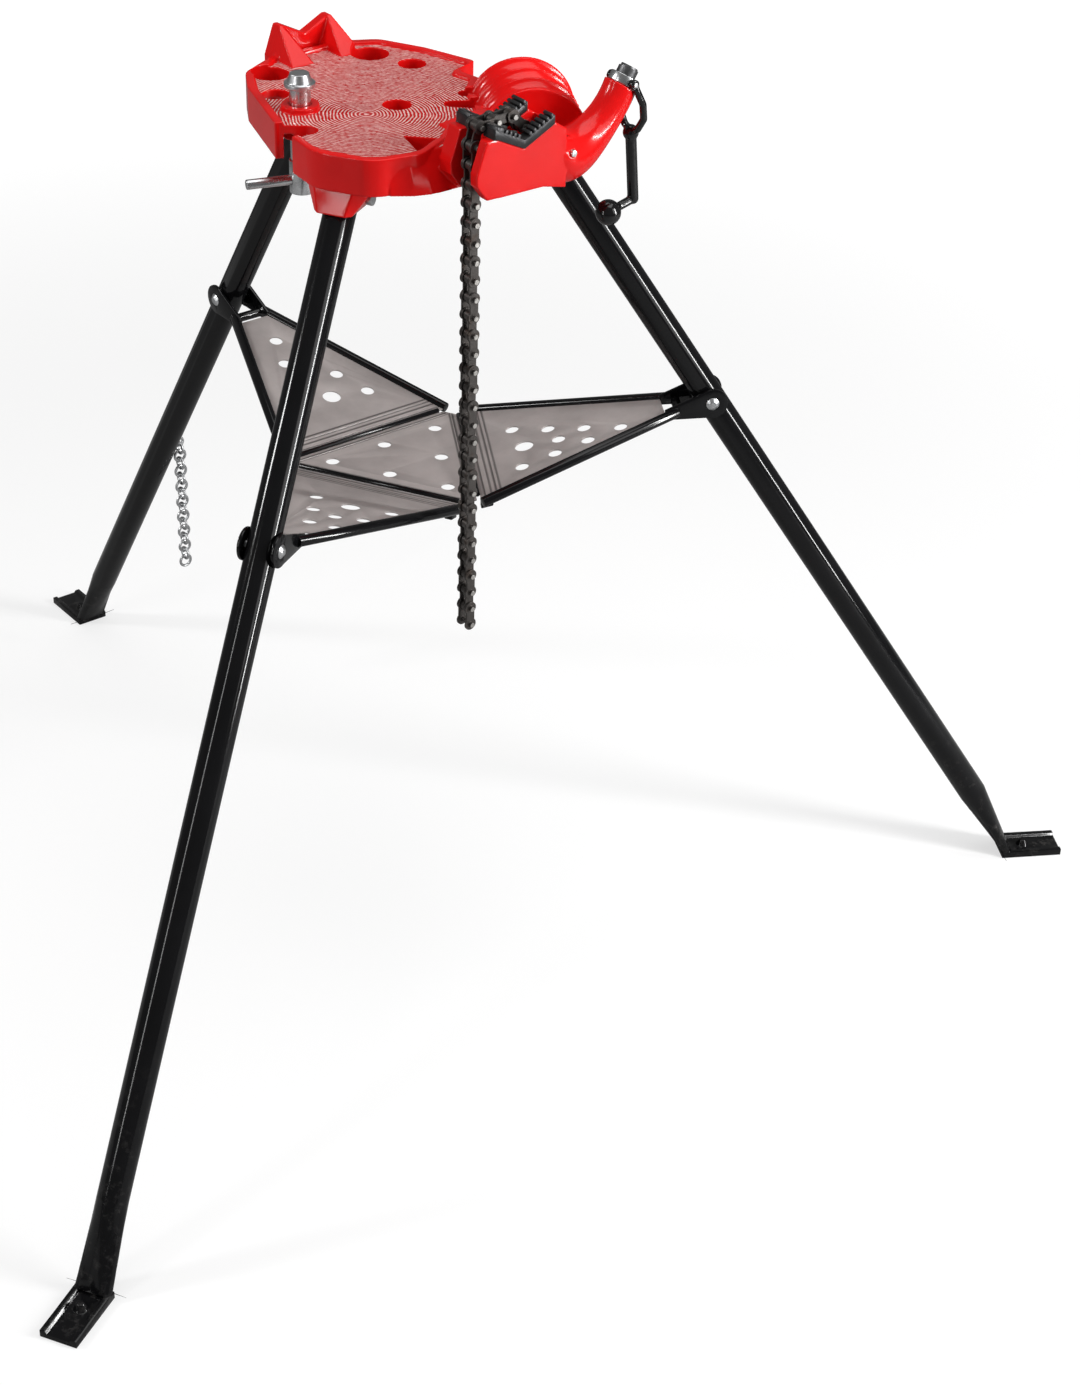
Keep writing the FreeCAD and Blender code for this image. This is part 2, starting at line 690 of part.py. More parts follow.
def foot_profile(centre, down):
    """Flat oval section of the squeezed tube, square to the leg."""
    half = foot_width / 2 - foot_thickness
    across = Vector(math.cos(tilt), 0, math.sin(tilt)) * foot_thickness
    side = Vector(0, 1, 0)
    a = centre + side * half + across
    b = centre - side * half + across
    c = centre - side * half - across
    d = centre + side * half - across
    edges = [Part.makeLine(a, b), Part.Arc(b, centre - side * (half + foot_thickness), c).toShape(),
             Part.makeLine(c, d), Part.Arc(d, centre + side * (half + foot_thickness), a).toShape()]
    return Part.Wire(edges)


def foot_plate(start):
    """Flat foot with raised side lips and a pressed stud."""
    end = start + foot_length
    heel = start - 1
    half = foot_width / 2
    profile = [Vector(heel, -half, 0), Vector(heel, half, 0), Vector(heel, half, foot_lip),
               Vector(heel, half - foot_thickness, foot_lip),
               Vector(heel, half - foot_thickness - 2, foot_thickness),
               Vector(heel, -half + foot_thickness + 2, foot_thickness),
               Vector(heel, -half + foot_thickness, foot_lip), Vector(heel, -half, foot_lip)]
    plate = Part.Face(Part.makePolygon(profile + profile[:1])).extrude(Vector(end - heel, 0, 0))
    stud = Part.makeCone(7.0, 3.5, 7.0, Vector(start + foot_length * 0.4, 0, foot_thickness - 0.5))
    return plate.fuse(stud)


def tray_pin(name):
    """Rivet through the leg and both ears of its wing."""
    extra = pivot_extra(name)
    half = leg_radius + ear_side_gap + ear_thickness + 0.2
    pin = Vector(tray_pin_reach + extra, 0, tray_pin_height)
    shank = rod(pin - Vector(0, half + 1, 0), pin + Vector(0, half + 1, 0), tray_pin_radius)
    shapes = [shank]
    for side in (-1, 1):
        start = pin + Vector(0, side * half, 0)
        shapes.append(Part.makeCone(6.5, 3.0, 2.6, start, Vector(0, side, 0)))
    return fuse(shapes)


# ---------------------------------------------------------------- tray
def wing_pin_point(name):
    return Vector(tray_pin_reach + pivot_extra(name), 0, tray_pin_height)


def wing_slope(name):
    pin = wing_pin_point(name)
    return math.atan2(tray_pin_height - tray_height, pin.x - tray_inradius)


def wing_point(name, along, side, lift):
    """A point on a wing: along it from the fold line to the pin, to its side, and above it."""
    slope = wing_slope(name)
    return Vector(tray_inradius + along * math.cos(slope) - lift * math.sin(slope), side,
                  tray_height + along * math.sin(slope) + lift * math.cos(slope))


def wing_length(name):
    pin = wing_pin_point(name)
    return math.hypot(pin.x - tray_inradius, tray_pin_height - tray_height)


base_half = tray_inradius * math.tan(math.radians(60.0))
ear_middle = leg_radius + ear_side_gap + ear_thickness / 2


def wing_side(name, along):
    """Half width of a wing's outline between the corner at the fold line and its ear."""
    first = base_half - corner_gap
    last = ear_middle
    return first + (last - first) * along / (wing_length(name) - ear_reach)


ear_reach = 34.0                # from the pin to where the edge rods end in the ears
sheet_reach = 46.0              # from the pin to the sheet's narrow end


def wing_sheet(name):
    """Sheet between the two edge rods, folded up along the fold line, with its drain holes."""
    length = wing_length(name)
    near = fold_gap
    far = length - sheet_reach
    inset = edge_rod_radius * 0.6
    corners = [wing_point(name, near, wing_side(name, near) - inset, -sheet / 2),
               wing_point(name, far, wing_side(name, far) - inset, -sheet / 2),
               wing_point(name, far, -wing_side(name, far) + inset, -sheet / 2),
               wing_point(name, near, -wing_side(name, near) + inset, -sheet / 2)]
    normal = wing_point(name, 0, 0, 1) - wing_point(name, 0, 0, 0)
    blank = Part.Face(Part.makePolygon(corners + corners[:1])).extrude(normal * sheet)
    for along, side, radius in wing_holes(name):
        start = wing_point(name, along, side, -3 * sheet)
        blank = blank.cut(Part.makeCylinder(radius, 6 * sheet, start, normal))
    for side in (-1, 1):
        blank = blank.cut(wing_rod(name, side))
    return blank


# Each wing's rows of holes: the first row's distance from the fold line, the rows' pitch, the first row's
# middle, and how far the middle moves from one row to the next.
HOLE_ROWS = {"front_left": (74.0, 36.0, 9.0, 1.5), "front_right": (48.0, 33.5, -9.0, -3.0),
             "rear": (60.0, 36.0, 0.0, 0.0)}
ROW_SIDES = ((-38, 0, 38), (-25, 0, 25), (-12.6, 12.6), (0,))
middle_hole_out = 7.0           # the middle hole of three stands further out
large_hole_extra = 2.5


def wing_holes(name):
    """Nine holes in rows that narrow towards the leg; the first row's middle one is larger."""
    first, pitch, middle, drift = HOLE_ROWS[name]
    holes = []
    for row, sides in enumerate(ROW_SIDES):
        for side in sides:
            out = middle_hole_out if side == 0 and len(sides) == 3 else 0.0
            radius = tray_hole_radius + (large_hole_extra if side == 0 and row == 0 else 0.0)
            holes.append((first + pitch * row + out, side + middle + drift * row, radius))
    return holes


def wing_rod(name, side):
    length = wing_length(name)
    start = wing_point(name, fold_gap + 1, side * wing_side(name, 0), 0)
    end = wing_point(name, length - ear_reach, side * ear_middle, 0)
    return rod(start, end, edge_rod_radius)


def wing_ear(name, side):
    """Plate beside the leg that carries the pin and the end of an edge rod."""
    pin = wing_pin_point(name)
    inner = side * (leg_radius + ear_side_gap)
    outer = inner + side * ear_thickness
    low = min(inner, outer)
    disc = Part.makeCylinder(ear_radius, ear_thickness, Vector(pin.x, low, pin.z), Vector(0, 1, 0))
    length = wing_length(name)
    a = wing_point(name, length - ear_reach - 12, low, edge_rod_radius)
    b = wing_point(name, length - 4, low, ear_radius - 1)
    c = wing_point(name, length - 4, low, -ear_radius + 1)
    d = wing_point(name, length - ear_reach - 12, low, -edge_rod_radius)
    web = Part.Face(Part.makePolygon([a, b, c, d, a])).extrude(Vector(0, ear_thickness, 0))
    hole = rod(pin - Vector(0, 30, 0), pin + Vector(0, 30, 0), tray_pin_radius + running_clearance)
    return disc.fuse(web).cut(hole)


def wing_frame(name):
    """Rolled edges, ears and the spacer that joins the ears."""
    length = wing_length(name)
    shapes = []
    for side in (-1, 1):
        shapes.append(wing_rod(name, side))
        shapes.append(wing_ear(name, side))
    spacer = wing_point(name, length - ear_reach + 2, 0, -4)
    half = leg_radius + ear_side_gap + 1
    shapes.append(rod(spacer - Vector(0, half, 0), spacer + Vector(0, half, 0), 4.5))
    return fuse(shapes)


def fold_curl():
    """Reach and height of the rolled edge that lies over a wing's inner edge at each fold."""
    corner = wing_point("front_left", fold_gap, 0, sheet / 2)
    height = tray_height + sheet / 2 + fold_curl_radius - fold_curl_sink
    apart = fold_curl_radius + stop_gap
    return corner.x - math.sqrt(apart ** 2 - (height - corner.z) ** 2), height


def centre_panel():
    """Triangle between the three fold lines, with holes and rolled edges."""
    curl_reach, curl_height = fold_curl()
    corner = 2 * tray_inradius - panel_corner_cut
    points = []
    for azimuth in (0, 120, 240):
        angle = math.radians(azimuth)
        for side in (-1, 1):
            aside = panel_corner_half * side
            points.append((corner * math.cos(angle) - aside * math.sin(angle),
                           corner * math.sin(angle) + aside * math.cos(angle)))
    low = tray_height - sheet / 2
    blank = prism_z(points, low, low + sheet)
    panel = blank
    for azimuth in (60, 180, 300):
        fold_edge = curl_reach - fold_curl_radius / 2
        beyond = box(fold_edge, corner * 2, -corner, corner, low - 1, low + sheet + 1)
        panel = panel.cut(turned(beyond, azimuth))
    row_pitch = panel_hole_pitch * front_side
    for row, sides in enumerate(((-1, 0, 1), (-0.5, 0.5), (0,))):
        for side in sides:
            spot = Vector(row_pitch * (row - 2 / 3), side * panel_hole_pitch, low - 1)
            panel = panel.cut(Part.makeCylinder(tray_hole_radius, 4, spot))
    curls = []
    half = base_half - corner_gap - fold_curl_end
    for azimuth in (60, 180, 300):
        middle = Vector(curl_reach, 0, curl_height)
        curl = rod(middle - Vector(0, half, 0), middle + Vector(0, half, 0), fold_curl_radius)
        curls.append(turned(curl, azimuth))
    return fuse([panel] + curls)


def wing_hook(name):
    """Bent tab under a front wing's inner corner."""
    side = 1 if name == "front_left" else -1
    corners = [wing_point(name, fold_gap + along, side * hook_side, -sheet / 2) for along in (1, 13)]
    low = [corner - Vector(0, 0, hook_drop) for corner in corners]
    face = Part.Face(Part.makePolygon([corners[0], corners[1], low[1], low[0], corners[0]]))
    return face.extrude(Vector(0, -side * hook_width, 0))


# ---------------------------------------------------------------- chain
def plate_link(start, end, x0, thickness):
    """Waisted plate between two pin centres."""
    along = end - start
    discs = [Part.makeCylinder(chain_plate_radius, thickness, Vector(x0, p.y, p.z), Vector(1, 0, 0))
             for p in (start, end)]
    side = Vector(0, -along.z, along.y)
    side.normalize()
    side = side * chain_waist
    lift = Vector(x0 - start.x, 0, 0)
    corners = [start + side + lift, end + side + lift, end - side + lift, start - side + lift]
    waist = Part.Face(Part.makePolygon(corners + corners[:1])).extrude(Vector(thickness, 0, 0))
    return discs[0].fuse(discs[1]).fuse(waist)


def roller_link(start, end, joints):
    """Inner plates with a bush at each of the given joints; the rollers turn on the bushes."""
    half = chain_inner_width / 2
    shapes = []
    for x0 in (start.x - half - chain_plate, start.x + half):
        shapes.append(plate_link(start, end, x0, chain_plate))
    bush = chain_pin_radius + running_clearance + chain_bush_wall
    for p in joints:
        shapes.append(rod(p - Vector(half + 0.5, 0, 0), p + Vector(half + 0.5, 0, 0), bush))
    link = fuse(shapes)
    for p in (start, end):
        bore = rod(p - Vector(30, 0, 0), p + Vector(30, 0, 0), chain_pin_radius + running_clearance)
        link = link.cut(bore)
    return link


def rollers(joints):
    bush = chain_pin_radius + running_clearance + chain_bush_wall
    half = chain_inner_width / 2 - running_clearance
    solids = []
    for p in joints:
        outer = rod(p - Vector(half, 0, 0), p + Vector(half, 0, 0), chain_roller_radius)
        solids.append(outer.cut(rod(p - Vector(30, 0, 0), p + Vector(30, 0, 0), bush + running_clearance)))
    return solids


def pin_link(start, end):
    """Outer plates riveted to their two pins."""
    inside = chain_inner_width / 2 + chain_plate + chain_side_gap
    shapes = []
    for x0 in (start.x - inside - chain_plate, start.x + inside):
        shapes.append(plate_link(start, end, x0, chain_plate))
    half = chain_pin_length / 2
    for p in (start, end):
        shapes.append(rod(p - Vector(half, 0, 0), p + Vector(half, 0, 0), chain_pin_radius))
    return fuse(shapes)


def save_chain(name, points, first_is_pin_link, ends_on_tongue=False):
    """One rigid stretch of chain: its pin links and its roller links."""
    pins = []
    inner = []
    is_pin_link = first_is_pin_link
    for i in range(len(points) - 1):
        if is_pin_link:
            pins.append(pin_link(points[i], points[i + 1]))
        else:
            on_tongue = ends_on_tongue and i + 2 == len(points)
            joints = [points[i]] if on_tongue else [points[i], points[i + 1]]
            inner.append(roller_link(points[i], points[i + 1], joints))
            inner += rollers(joints)
        is_pin_link = not is_pin_link
    save(name + "_pin_links", group(pins))
    save(name + "_roller_links", group(inner))


def save_hanging_chain():
    top = chain_path()[0]
    first = 0
    for number, count in enumerate(SEGMENT_LINKS, 1):
        points = [top - Vector(0, 0, chain_pitch * (first + i)) for i in range(count + 1)]
        save_chain("chain_hanging_" + str(number), points, first % 2 == 0)
        first += count


# ---------------------------------------------------------------- tension screw, nut and crank
nut_above_horn = 0.6
nut_height = 8.0
nut_radius = 12.5
screw_above_nut = 9.0
tongue_length = 18.0            # from the clevis pin to the round of the screw
clevis_pin_proud = 1.2
trunnion_radius = 2.4
trunnion_length = 6.0
fork_eye_radius = 4.5
fork_eye_width = 4.5
fork_gap = 0.8                  # between the nut and the fork's eyes
prong_radius = 3.3
prong_relief = 10.0             # the prongs are flat this far from the eyes, beside the horn
# Each prong from its eye to the crotch: out from the screw's plane, towards +Y and down from the trunnions.
PRONG_COURSE = [(15.5, 0.0, 0.0), (17.6, 9.0, -18.8), (16.5, 11.5, -33.0), (9.0, 11.5, -44.5),
                (0.0, 11.5, -49.0)]
CROTCH = (0.0, 11.5, -50.0)
SHAFT_BEND = (0.0, 17.5, -113.0)
BALL = (0.0, -10.5, -119.5)
crotch_radius = 7.2
shaft_radius = 5.0
ball_radius = 11.6


def trunnion_point():
    return horn_point(-(nut_above_horn + nut_height / 2))


def clevis_point():
    return chain_path()[-1]


def chain_screw():
    """Threaded rod whose flat tongue holds the chain's last link."""
    axis = horn_axis()
    top = horn_point(-(nut_above_horn + nut_height + screw_above_nut))
    clevis = clevis_point()
    shank = rod(clevis + axis * tongue_length, top, screw_radius)
    half = chain_inner_width / 2 - chain_side_gap
    tongue = plate_link(clevis, clevis + axis * tongue_length, vise_x - half, 2 * half)
    hole = rod(clevis - Vector(half + 1, 0, 0), clevis + Vector(half + 1, 0, 0),
               chain_pin_radius + running_clearance)
    return shank.fuse(tongue).cut(hole)


def clevis_pin():
    clevis = clevis_point()
    half = chain_inner_width / 2 + chain_plate + clevis_pin_proud
    return rod(clevis - Vector(half, 0, 0), clevis + Vector(half, 0, 0), chain_pin_radius)


def tension_nut():
    axis = horn_axis()
    low = horn_point(-nut_above_horn)
    body = Part.makeCylinder(nut_radius, nut_height, low, axis)
    middle = trunnion_point()
    reach = nut_radius + trunnion_length
    trunnions = rod(middle - Vector(reach, 0, 0), middle + Vector(reach, 0, 0), trunnion_radius)
    bore = Part.makeCylinder(screw_radius + running_clearance, nut_height + 20, horn_point(10), axis)
    return body.fuse(trunnions).cut(bore)


def crank_handle():
    """Forked crank that swings on the nut's trunnions and ends in a ball."""
    pivot = trunnion_point()
    eyes = []
    prongs = []
    for side in (-1, 1):
        near = Vector(vise_x + side * (nut_radius + fork_gap), pivot.y, pivot.z)
        eyes.append(Part.makeCylinder(fork_eye_radius, fork_eye_width, near, Vector(side, 0, 0)))
        course = [pivot + Vector(side * out, along, down) for out, along, down in PRONG_COURSE]
        for start, end in zip(course, course[1:]):
            prongs += [rod(start, end, prong_radius), Part.makeSphere(prong_radius, end)]
    beside = Vector(horn_radius + 0.3, 0, 0)
    forked = fuse(prongs).cut(rod(pivot - beside, pivot + beside, prong_relief))
    crotch = pivot + Vector(*CROTCH)
    bend = pivot + Vector(*SHAFT_BEND)
    ball = pivot + Vector(*BALL)
    shapes = [Part.makeSphere(crotch_radius, crotch), rod(crotch, bend, shaft_radius),
              Part.makeSphere(shaft_radius, bend), rod(bend, ball, shaft_radius * 0.8),
              Part.makeSphere(ball_radius, ball)]
    whole = fuse([forked] + eyes + shapes)
    return whole.cut(rod(pivot - Vector(60, 0, 0), pivot + Vector(60, 0, 0),
                         trunnion_radius + running_clearance))


# ---------------------------------------------------------------- ceiling brace
def brace_centre(height):
    return Vector(brace_x, brace_y, height)


def brace_screw():
    neck = brace_cap_height - 12
    thread = rod(brace_centre(brace_low + brace_head_length), brace_centre(neck), brace_radius)
    spigot = rod(brace_centre(neck), brace_centre(neck + 9), 4.0)
    head = rod(brace_centre(brace_low), brace_centre(brace_low + brace_head_length), brace_head_radius)
    whole = fuse([thread, spigot, head])
    return whole.cut(brace_bar_hole(brace_bar_radius + 0.3))


def brace_bar_hole(radius):
    along = brace_bar_direction()
    middle = brace_centre(brace_low + 12)
    return rod(middle - along * 60, middle + along * 60, radius)


def brace_bar_direction():
    angle = math.radians(-107.0)
    return Vector(math.cos(angle), math.sin(angle), 0)


def brace_bar():
    along = brace_bar_direction()
    middle = brace_centre(brace_low + 12)
    out = middle + along * brace_bar_out
    back = out - along * brace_bar_length
    return rod(out, back, brace_bar_radius)


def brace_cap():
    neck = brace_cap_height - 12
    flange = rod(brace_centre(neck + stop_gap), brace_centre(neck + 4), 13.8)
    dome = Part.makeCone(11.0, 8.5, 8.0, brace_centre(neck + 4))
    socket = rod(brace_centre(neck - 1), brace_centre(neck + 9.2), 4.0 + running_clearance)
    return flange.fuse(dome).cut(socket)


# ---------------------------------------------------------------- keeper chain on the rear leg
keeper_height = 322.0
keeper_wire = 1.5
keeper_loop = 6.5
keeper_links = 16
keeper_eye = 4.5
keeper_play = 0.4


def keeper_anchor():
    """Centre of the staple's eye, beside the rear leg."""
    reach = reach_at(keeper_height) + rear_pivot_extra
    return Vector(-reach, leg_radius + keeper_eye + keeper_wire + 0.6, keeper_height)


def keeper_staple():
    """Eye with a shank through the wall of the rear leg."""
    at = keeper_anchor()
    eye = Part.makeTorus(keeper_eye, keeper_wire, at, Vector(1, 0, 0))
    inner_wall = leg_radius - leg_wall - 1.0
    shank = rod(at - Vector(0, keeper_eye, 0), Vector(at.x, inner_wall, at.z), keeper_wire)
    return fuse([eye, shank])


def keeper_chain():
    """Links that hang from the staple, each turned a quarter from the last."""
    at = keeper_anchor()
    links = []
    pitch = 2 * (keeper_loop - keeper_wire) - keeper_play
    first = keeper_eye - keeper_wire + keeper_loop - keeper_wire - keeper_play
    for i in range(keeper_links):
        centre = at - Vector(0, 0, first + pitch * i)
        normal = Vector(0, 1, 0) if i % 2 == 0 else Vector(1, 0, 0)
        links.append(Part.makeTorus(keeper_loop, keeper_wire, centre, normal))
    return links


def build_all():
    save("base_casting", base_casting())
    save("chain_jaw", chain_jaw())
    save("jaw_bolts", group(jaw_bolts()))
    save("channel_pin", channel_pin())
    save("leg_bolts", group(leg_bolts()))
    save("leg_bolt_nuts", group(leg_nuts()))
    for name, azimuth in LEG_AZIMUTHS.items():
        save("leg_" + name, turned(leg_tube(name), azimuth))
        save("tray_pin_" + name, turned(tray_pin(name), azimuth))
        save("tray_wing_" + name, turned(wing_sheet(name), azimuth))
        save("wing_frame_" + name, turned(wing_frame(name), azimuth))
    save("centre_panel", centre_panel())
    for name in ("front_left", "front_right"):
        save("wing_hook_" + name, turned(wing_hook(name), LEG_AZIMUTHS[name]))
    save_hanging_chain()
    path = chain_path()
    save_chain("chain_over_jaw", path[:LIFTED_LINKS + 1], False)
    save_chain("chain_in_horn", path[LIFTED_LINKS:], False, True)
    save("chain_screw", chain_screw())
    save("clevis_pin", clevis_pin())
    save("tension_nut", tension_nut())
    save("crank_handle", crank_handle())
    save("brace_screw", brace_screw())
    save("brace_bar", brace_bar())
    save("brace_cap", brace_cap())
    save("keeper_staple", keeper_staple())
    save("keeper_chain", group(keeper_chain()))


if __name__ == "__main__":
    os.makedirs("parts", exist_ok=True)
    build_all()
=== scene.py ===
"""Finish of a chain pipe vise on its folding tripod stand.

The file is laid out as an add-on and run as a script.
"""
import json
import math

import bpy
from bpy.props import FloatProperty, FloatVectorProperty, IntProperty, PointerProperty
from mathutils import Matrix, Vector

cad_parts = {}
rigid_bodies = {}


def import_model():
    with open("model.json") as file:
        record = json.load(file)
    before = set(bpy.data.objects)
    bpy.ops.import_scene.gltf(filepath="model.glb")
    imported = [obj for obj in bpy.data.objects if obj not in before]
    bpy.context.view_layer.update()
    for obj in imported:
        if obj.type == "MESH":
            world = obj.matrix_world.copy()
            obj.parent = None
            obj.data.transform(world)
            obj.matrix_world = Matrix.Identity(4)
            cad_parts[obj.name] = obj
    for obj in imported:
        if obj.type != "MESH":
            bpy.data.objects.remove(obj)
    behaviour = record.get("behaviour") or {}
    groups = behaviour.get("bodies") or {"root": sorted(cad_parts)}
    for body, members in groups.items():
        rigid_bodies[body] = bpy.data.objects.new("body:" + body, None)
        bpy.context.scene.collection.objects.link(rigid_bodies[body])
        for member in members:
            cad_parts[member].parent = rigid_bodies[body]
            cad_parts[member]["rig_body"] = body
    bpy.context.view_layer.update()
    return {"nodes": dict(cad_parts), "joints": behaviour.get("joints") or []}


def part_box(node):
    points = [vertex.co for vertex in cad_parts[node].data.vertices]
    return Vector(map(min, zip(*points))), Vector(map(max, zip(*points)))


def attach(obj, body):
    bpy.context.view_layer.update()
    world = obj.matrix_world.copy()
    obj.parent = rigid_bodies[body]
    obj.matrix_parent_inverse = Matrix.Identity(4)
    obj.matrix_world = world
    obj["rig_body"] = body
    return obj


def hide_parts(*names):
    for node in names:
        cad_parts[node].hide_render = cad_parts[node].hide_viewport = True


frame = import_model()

bl_info = {
    "name": "Chain pipe vise finish",
    "version": (1, 0, 0),
    "blender": (4, 5, 0),
    "location": "3D View > Sidebar > Pipe Vise",
    "description": "Painted casting, roller chain, legs and tray of a tripod chain pipe vise",
    "category": "Object",
}

JOINTS = {joint["name"]: joint for joint in frame["joints"]}
FINISHES = {}

MM = 0.001
ORIGIN = (0.0, 0.0, 0.0)
WHITE = (1.0, 1.0, 1.0)
FRONT_SIDES = ("front_left", "front_right")
SIDES = (*FRONT_SIDES, "rear")

# Meshes: points nearer than WELD are one, and so are faces that bend by less than FLAT_ANGLE. A
# chain pin's bright end is PIN_END deep, and what stands SHEET_SLACK over the centre panel's
# sheet is its rolled edge.
WELD = 0.002 * MM
FLAT_ANGLE = math.radians(0.6)
EDGE_ANGLE = math.radians(30.0)
SHADE_ANGLE = math.radians(32.0)
CAST_SHADE_ANGLE = math.radians(60.0)
CRANK_VOXEL, CRANK_PASSES, CRANK_FACES = 0.9 * MM, 6, 60000
LINK_EDGE = 0.22 * MM
PIN_END = 0.3 * MM
SHEET = 1.6 * MM
SHEET_SLACK = 0.1 * MM

# Screws: the radii between which a point lies on the plain bar, and the ridges that wind round it.
# A ridge's section is a triangle whose corners lie RIDGE_RADIUS times the pitch from its middle.
TENSION_BAR = (8.6 * MM, math.inf)
BRACE_BAR = (9.3 * MM, 9.7 * MM)
BRACE_HEAD = 30 * MM
THREAD_STOP = 1 * MM
SCREW_EDGE = 0.4 * MM
RIDGE_RADIUS = 0.58
RIDGE_STEPS = 36

# Finish: the spacing of a wave texture's rings at scale 1, the point that the plate's rings wind
# round, and the height up to which the legs are dusty.
RING_SPACING = 0.314
PLATE_MIDDLE = (0.19, -0.05, 0.87)
DUST_HEIGHT = 0.25

# Stage: where the lights look, and each light's name, place, size, power and share of that power.
# The floor's colour is taken at FLOOR_BOUNCE for the light that it throws back, and at FLOOR_SHOWN
# for the camera, which also sees a glow that grows from FLOOR_GLOW to white over FLOOR_FADE.
AIM = (0.1, 0.0, 0.6)
LIGHTS = (
    ("key_light", (-1.3, -2.7, 2.5), (0.45, 0.6), "key", 1.0),
    ("top_light", (0.4, 0.3, 3.3), (2.2, 2.2), "top", 1.0),
    ("fill_light", (2.9, 1.2, 2.0), (1.2, 2.0), "fill", 1.0),
    ("right_strip", (2.55, 1.6, 1.4), (0.16, 2.2), "strip", 1.0),
    ("left_strip", (0.6, -3.1, 1.6), (0.16, 2.2), "strip", 0.22),
)
FAR_CLIP = 40.0
FLOOR_SIDE = 24.0
FLOOR_BOUNCE, FLOOR_SHOWN, FLOOR_GLOW = 0.42, 0.45, 0.62
FLOOR_FADE = (0.9, 3.2)


# --------------------------------------------------------------------------------------------------
# Shader maths


class Field:
    """One socket of a node tree. Arithmetic on it adds the Math nodes that it stands for."""

    def __init__(self, nodes, socket):
        self.nodes = nodes
        self.socket = socket

    def worked(self, operation, *values):
        return self.nodes.node("ShaderNodeMath", {"operation": operation}, *values)

    def __add__(self, other):
        return self.worked("ADD", self, other)

    def __radd__(self, other):
        return self.worked("ADD", other, self)

    def __sub__(self, other):
        return self.worked("SUBTRACT", self, other)

    def __rsub__(self, other):
        return self.worked("SUBTRACT", other, self)

    def __mul__(self, other):
        return self.worked("MULTIPLY", self, other)

    def __rmul__(self, other):
        return self.worked("MULTIPLY", other, self)

    def __abs__(self):
        return self.worked("ABSOLUTE", self)

    def larger(self, other):
        return self.worked("MAXIMUM", self, other)

    def ramp(self, low, high):
        """0 at low, 1 at high and a smooth change between them."""
        settings = {"interpolation_type": "SMOOTHSTEP"}
        return self.nodes.node("ShaderNodeMapRange", settings, self, low, high)


class Nodes:
    """A node tree under construction."""

    def __init__(self, tree):
        self.tree = tree

    def feed(self, socket, value):
        """A field is linked to the socket, and any other value is set on it."""
        if isinstance(value, Field):
            self.tree.links.new(value.socket, socket)
        elif isinstance(value, tuple) and socket.type == "RGBA":
            socket.default_value = (*value, 1.0)
        elif value is not None:
            socket.default_value = value

    def feed_named(self, owner, values):
        """Values for a node's sockets, by their names."""
        for name, value in values.items():
            title = name.replace("_", " ").title().replace("Ior", "IOR")
            self.feed(owner.inputs[title], value)

    def node(self, kind, settings=None, *values, output=0, **named):
        """Any node: its settings first, then its sockets in order, then its sockets by name."""
        made = self.tree.nodes.new(kind)
        for name, value in (settings or {}).items():
            setattr(made, name, value)
        for socket, value in zip(made.inputs, values):
            self.feed(socket, value)
        self.feed_named(made, named)
        return Field(self, made.outputs[output])

    def camera_ray(self):
        """1 where the camera looks straight at a surface, and 0 in reflections and bounces."""
        return self.node("ShaderNodeLightPath", output="Is Camera Ray")


class Finish(Nodes):
    """A material under construction: one principled surface and the nodes that feed it."""

    def __init__(self, name, **constants):
        self.material = bpy.data.materials.new(name)
        self.material.use_nodes = True
        super().__init__(self.material.node_tree)
        self.surface = self.tree.nodes["Principled BSDF"]
        self.set(**constants)

    def set(self, **values):
        """Constants and fields for the principled surface, by socket name."""
        self.feed_named(self.surface, values)

    def place(self):
        return self.node("ShaderNodeTexCoord", output="Object")

    def normal(self):
        return self.node("ShaderNodeTexCoord", output="Normal")

    def along(self, field, axis):
        return self.node("ShaderNodeSeparateXYZ", None, field, output=axis)

    def noise(self, size, detail=2.0, roughness=0.5, stretch=None):
        """Noise whose lumps are about size metres across."""
        vector = self.place()
        if stretch:
            vector = self.node("ShaderNodeMapping", None, Vector=vector, Scale=stretch)
        return self.node(
            "ShaderNodeTexNoise", None,
            Vector=vector, Scale=1.0 / size, Detail=detail, Roughness=roughness,
        )

    def cells(self, size):
        """The distance to the nearest of points about size metres apart."""
        return self.node(
            "ShaderNodeTexVoronoi", {"feature": "F1"},
            Vector=self.place(), Scale=1.0 / size, output="Distance",
        )

    def rings(self, size, centre):
        """Winding rings about a point, size metres from ring to ring."""
        away = self.node(
            "ShaderNodeMapping", None, Vector=self.place(), Location=tuple(-c for c in centre)
        )
        return self.node(
            "ShaderNodeTexWave", {"wave_type": "RINGS", "rings_direction": "SPHERICAL"},
            Vector=away, Scale=RING_SPACING / size, Distortion=7.0, Detail=2.0,
            Detail_Scale=0.35, Detail_Roughness=0.6, output="Fac",
        )

    def blend(self, factor, first, second):
        """One colour fading into another."""
        unused = (None,) * 5
        return self.node(
            "ShaderNodeMix", {"data_type": "RGBA"}, factor, *unused, first, second, output=2
        )

    def relief(self, height, distance, strength=1.0, under=None):
        """A bump of the given height field, over another one where there is one."""
        return self.node(
            "ShaderNodeBump", None,
            Height=height, Distance=distance, Strength=strength, Normal=under,
        )


# --------------------------------------------------------------------------------------------------
# Finishes


def tone(colour, share=1.0):
    """A colour of the palette, darker or lighter by a share."""
    return tuple(c * share for c in colour)


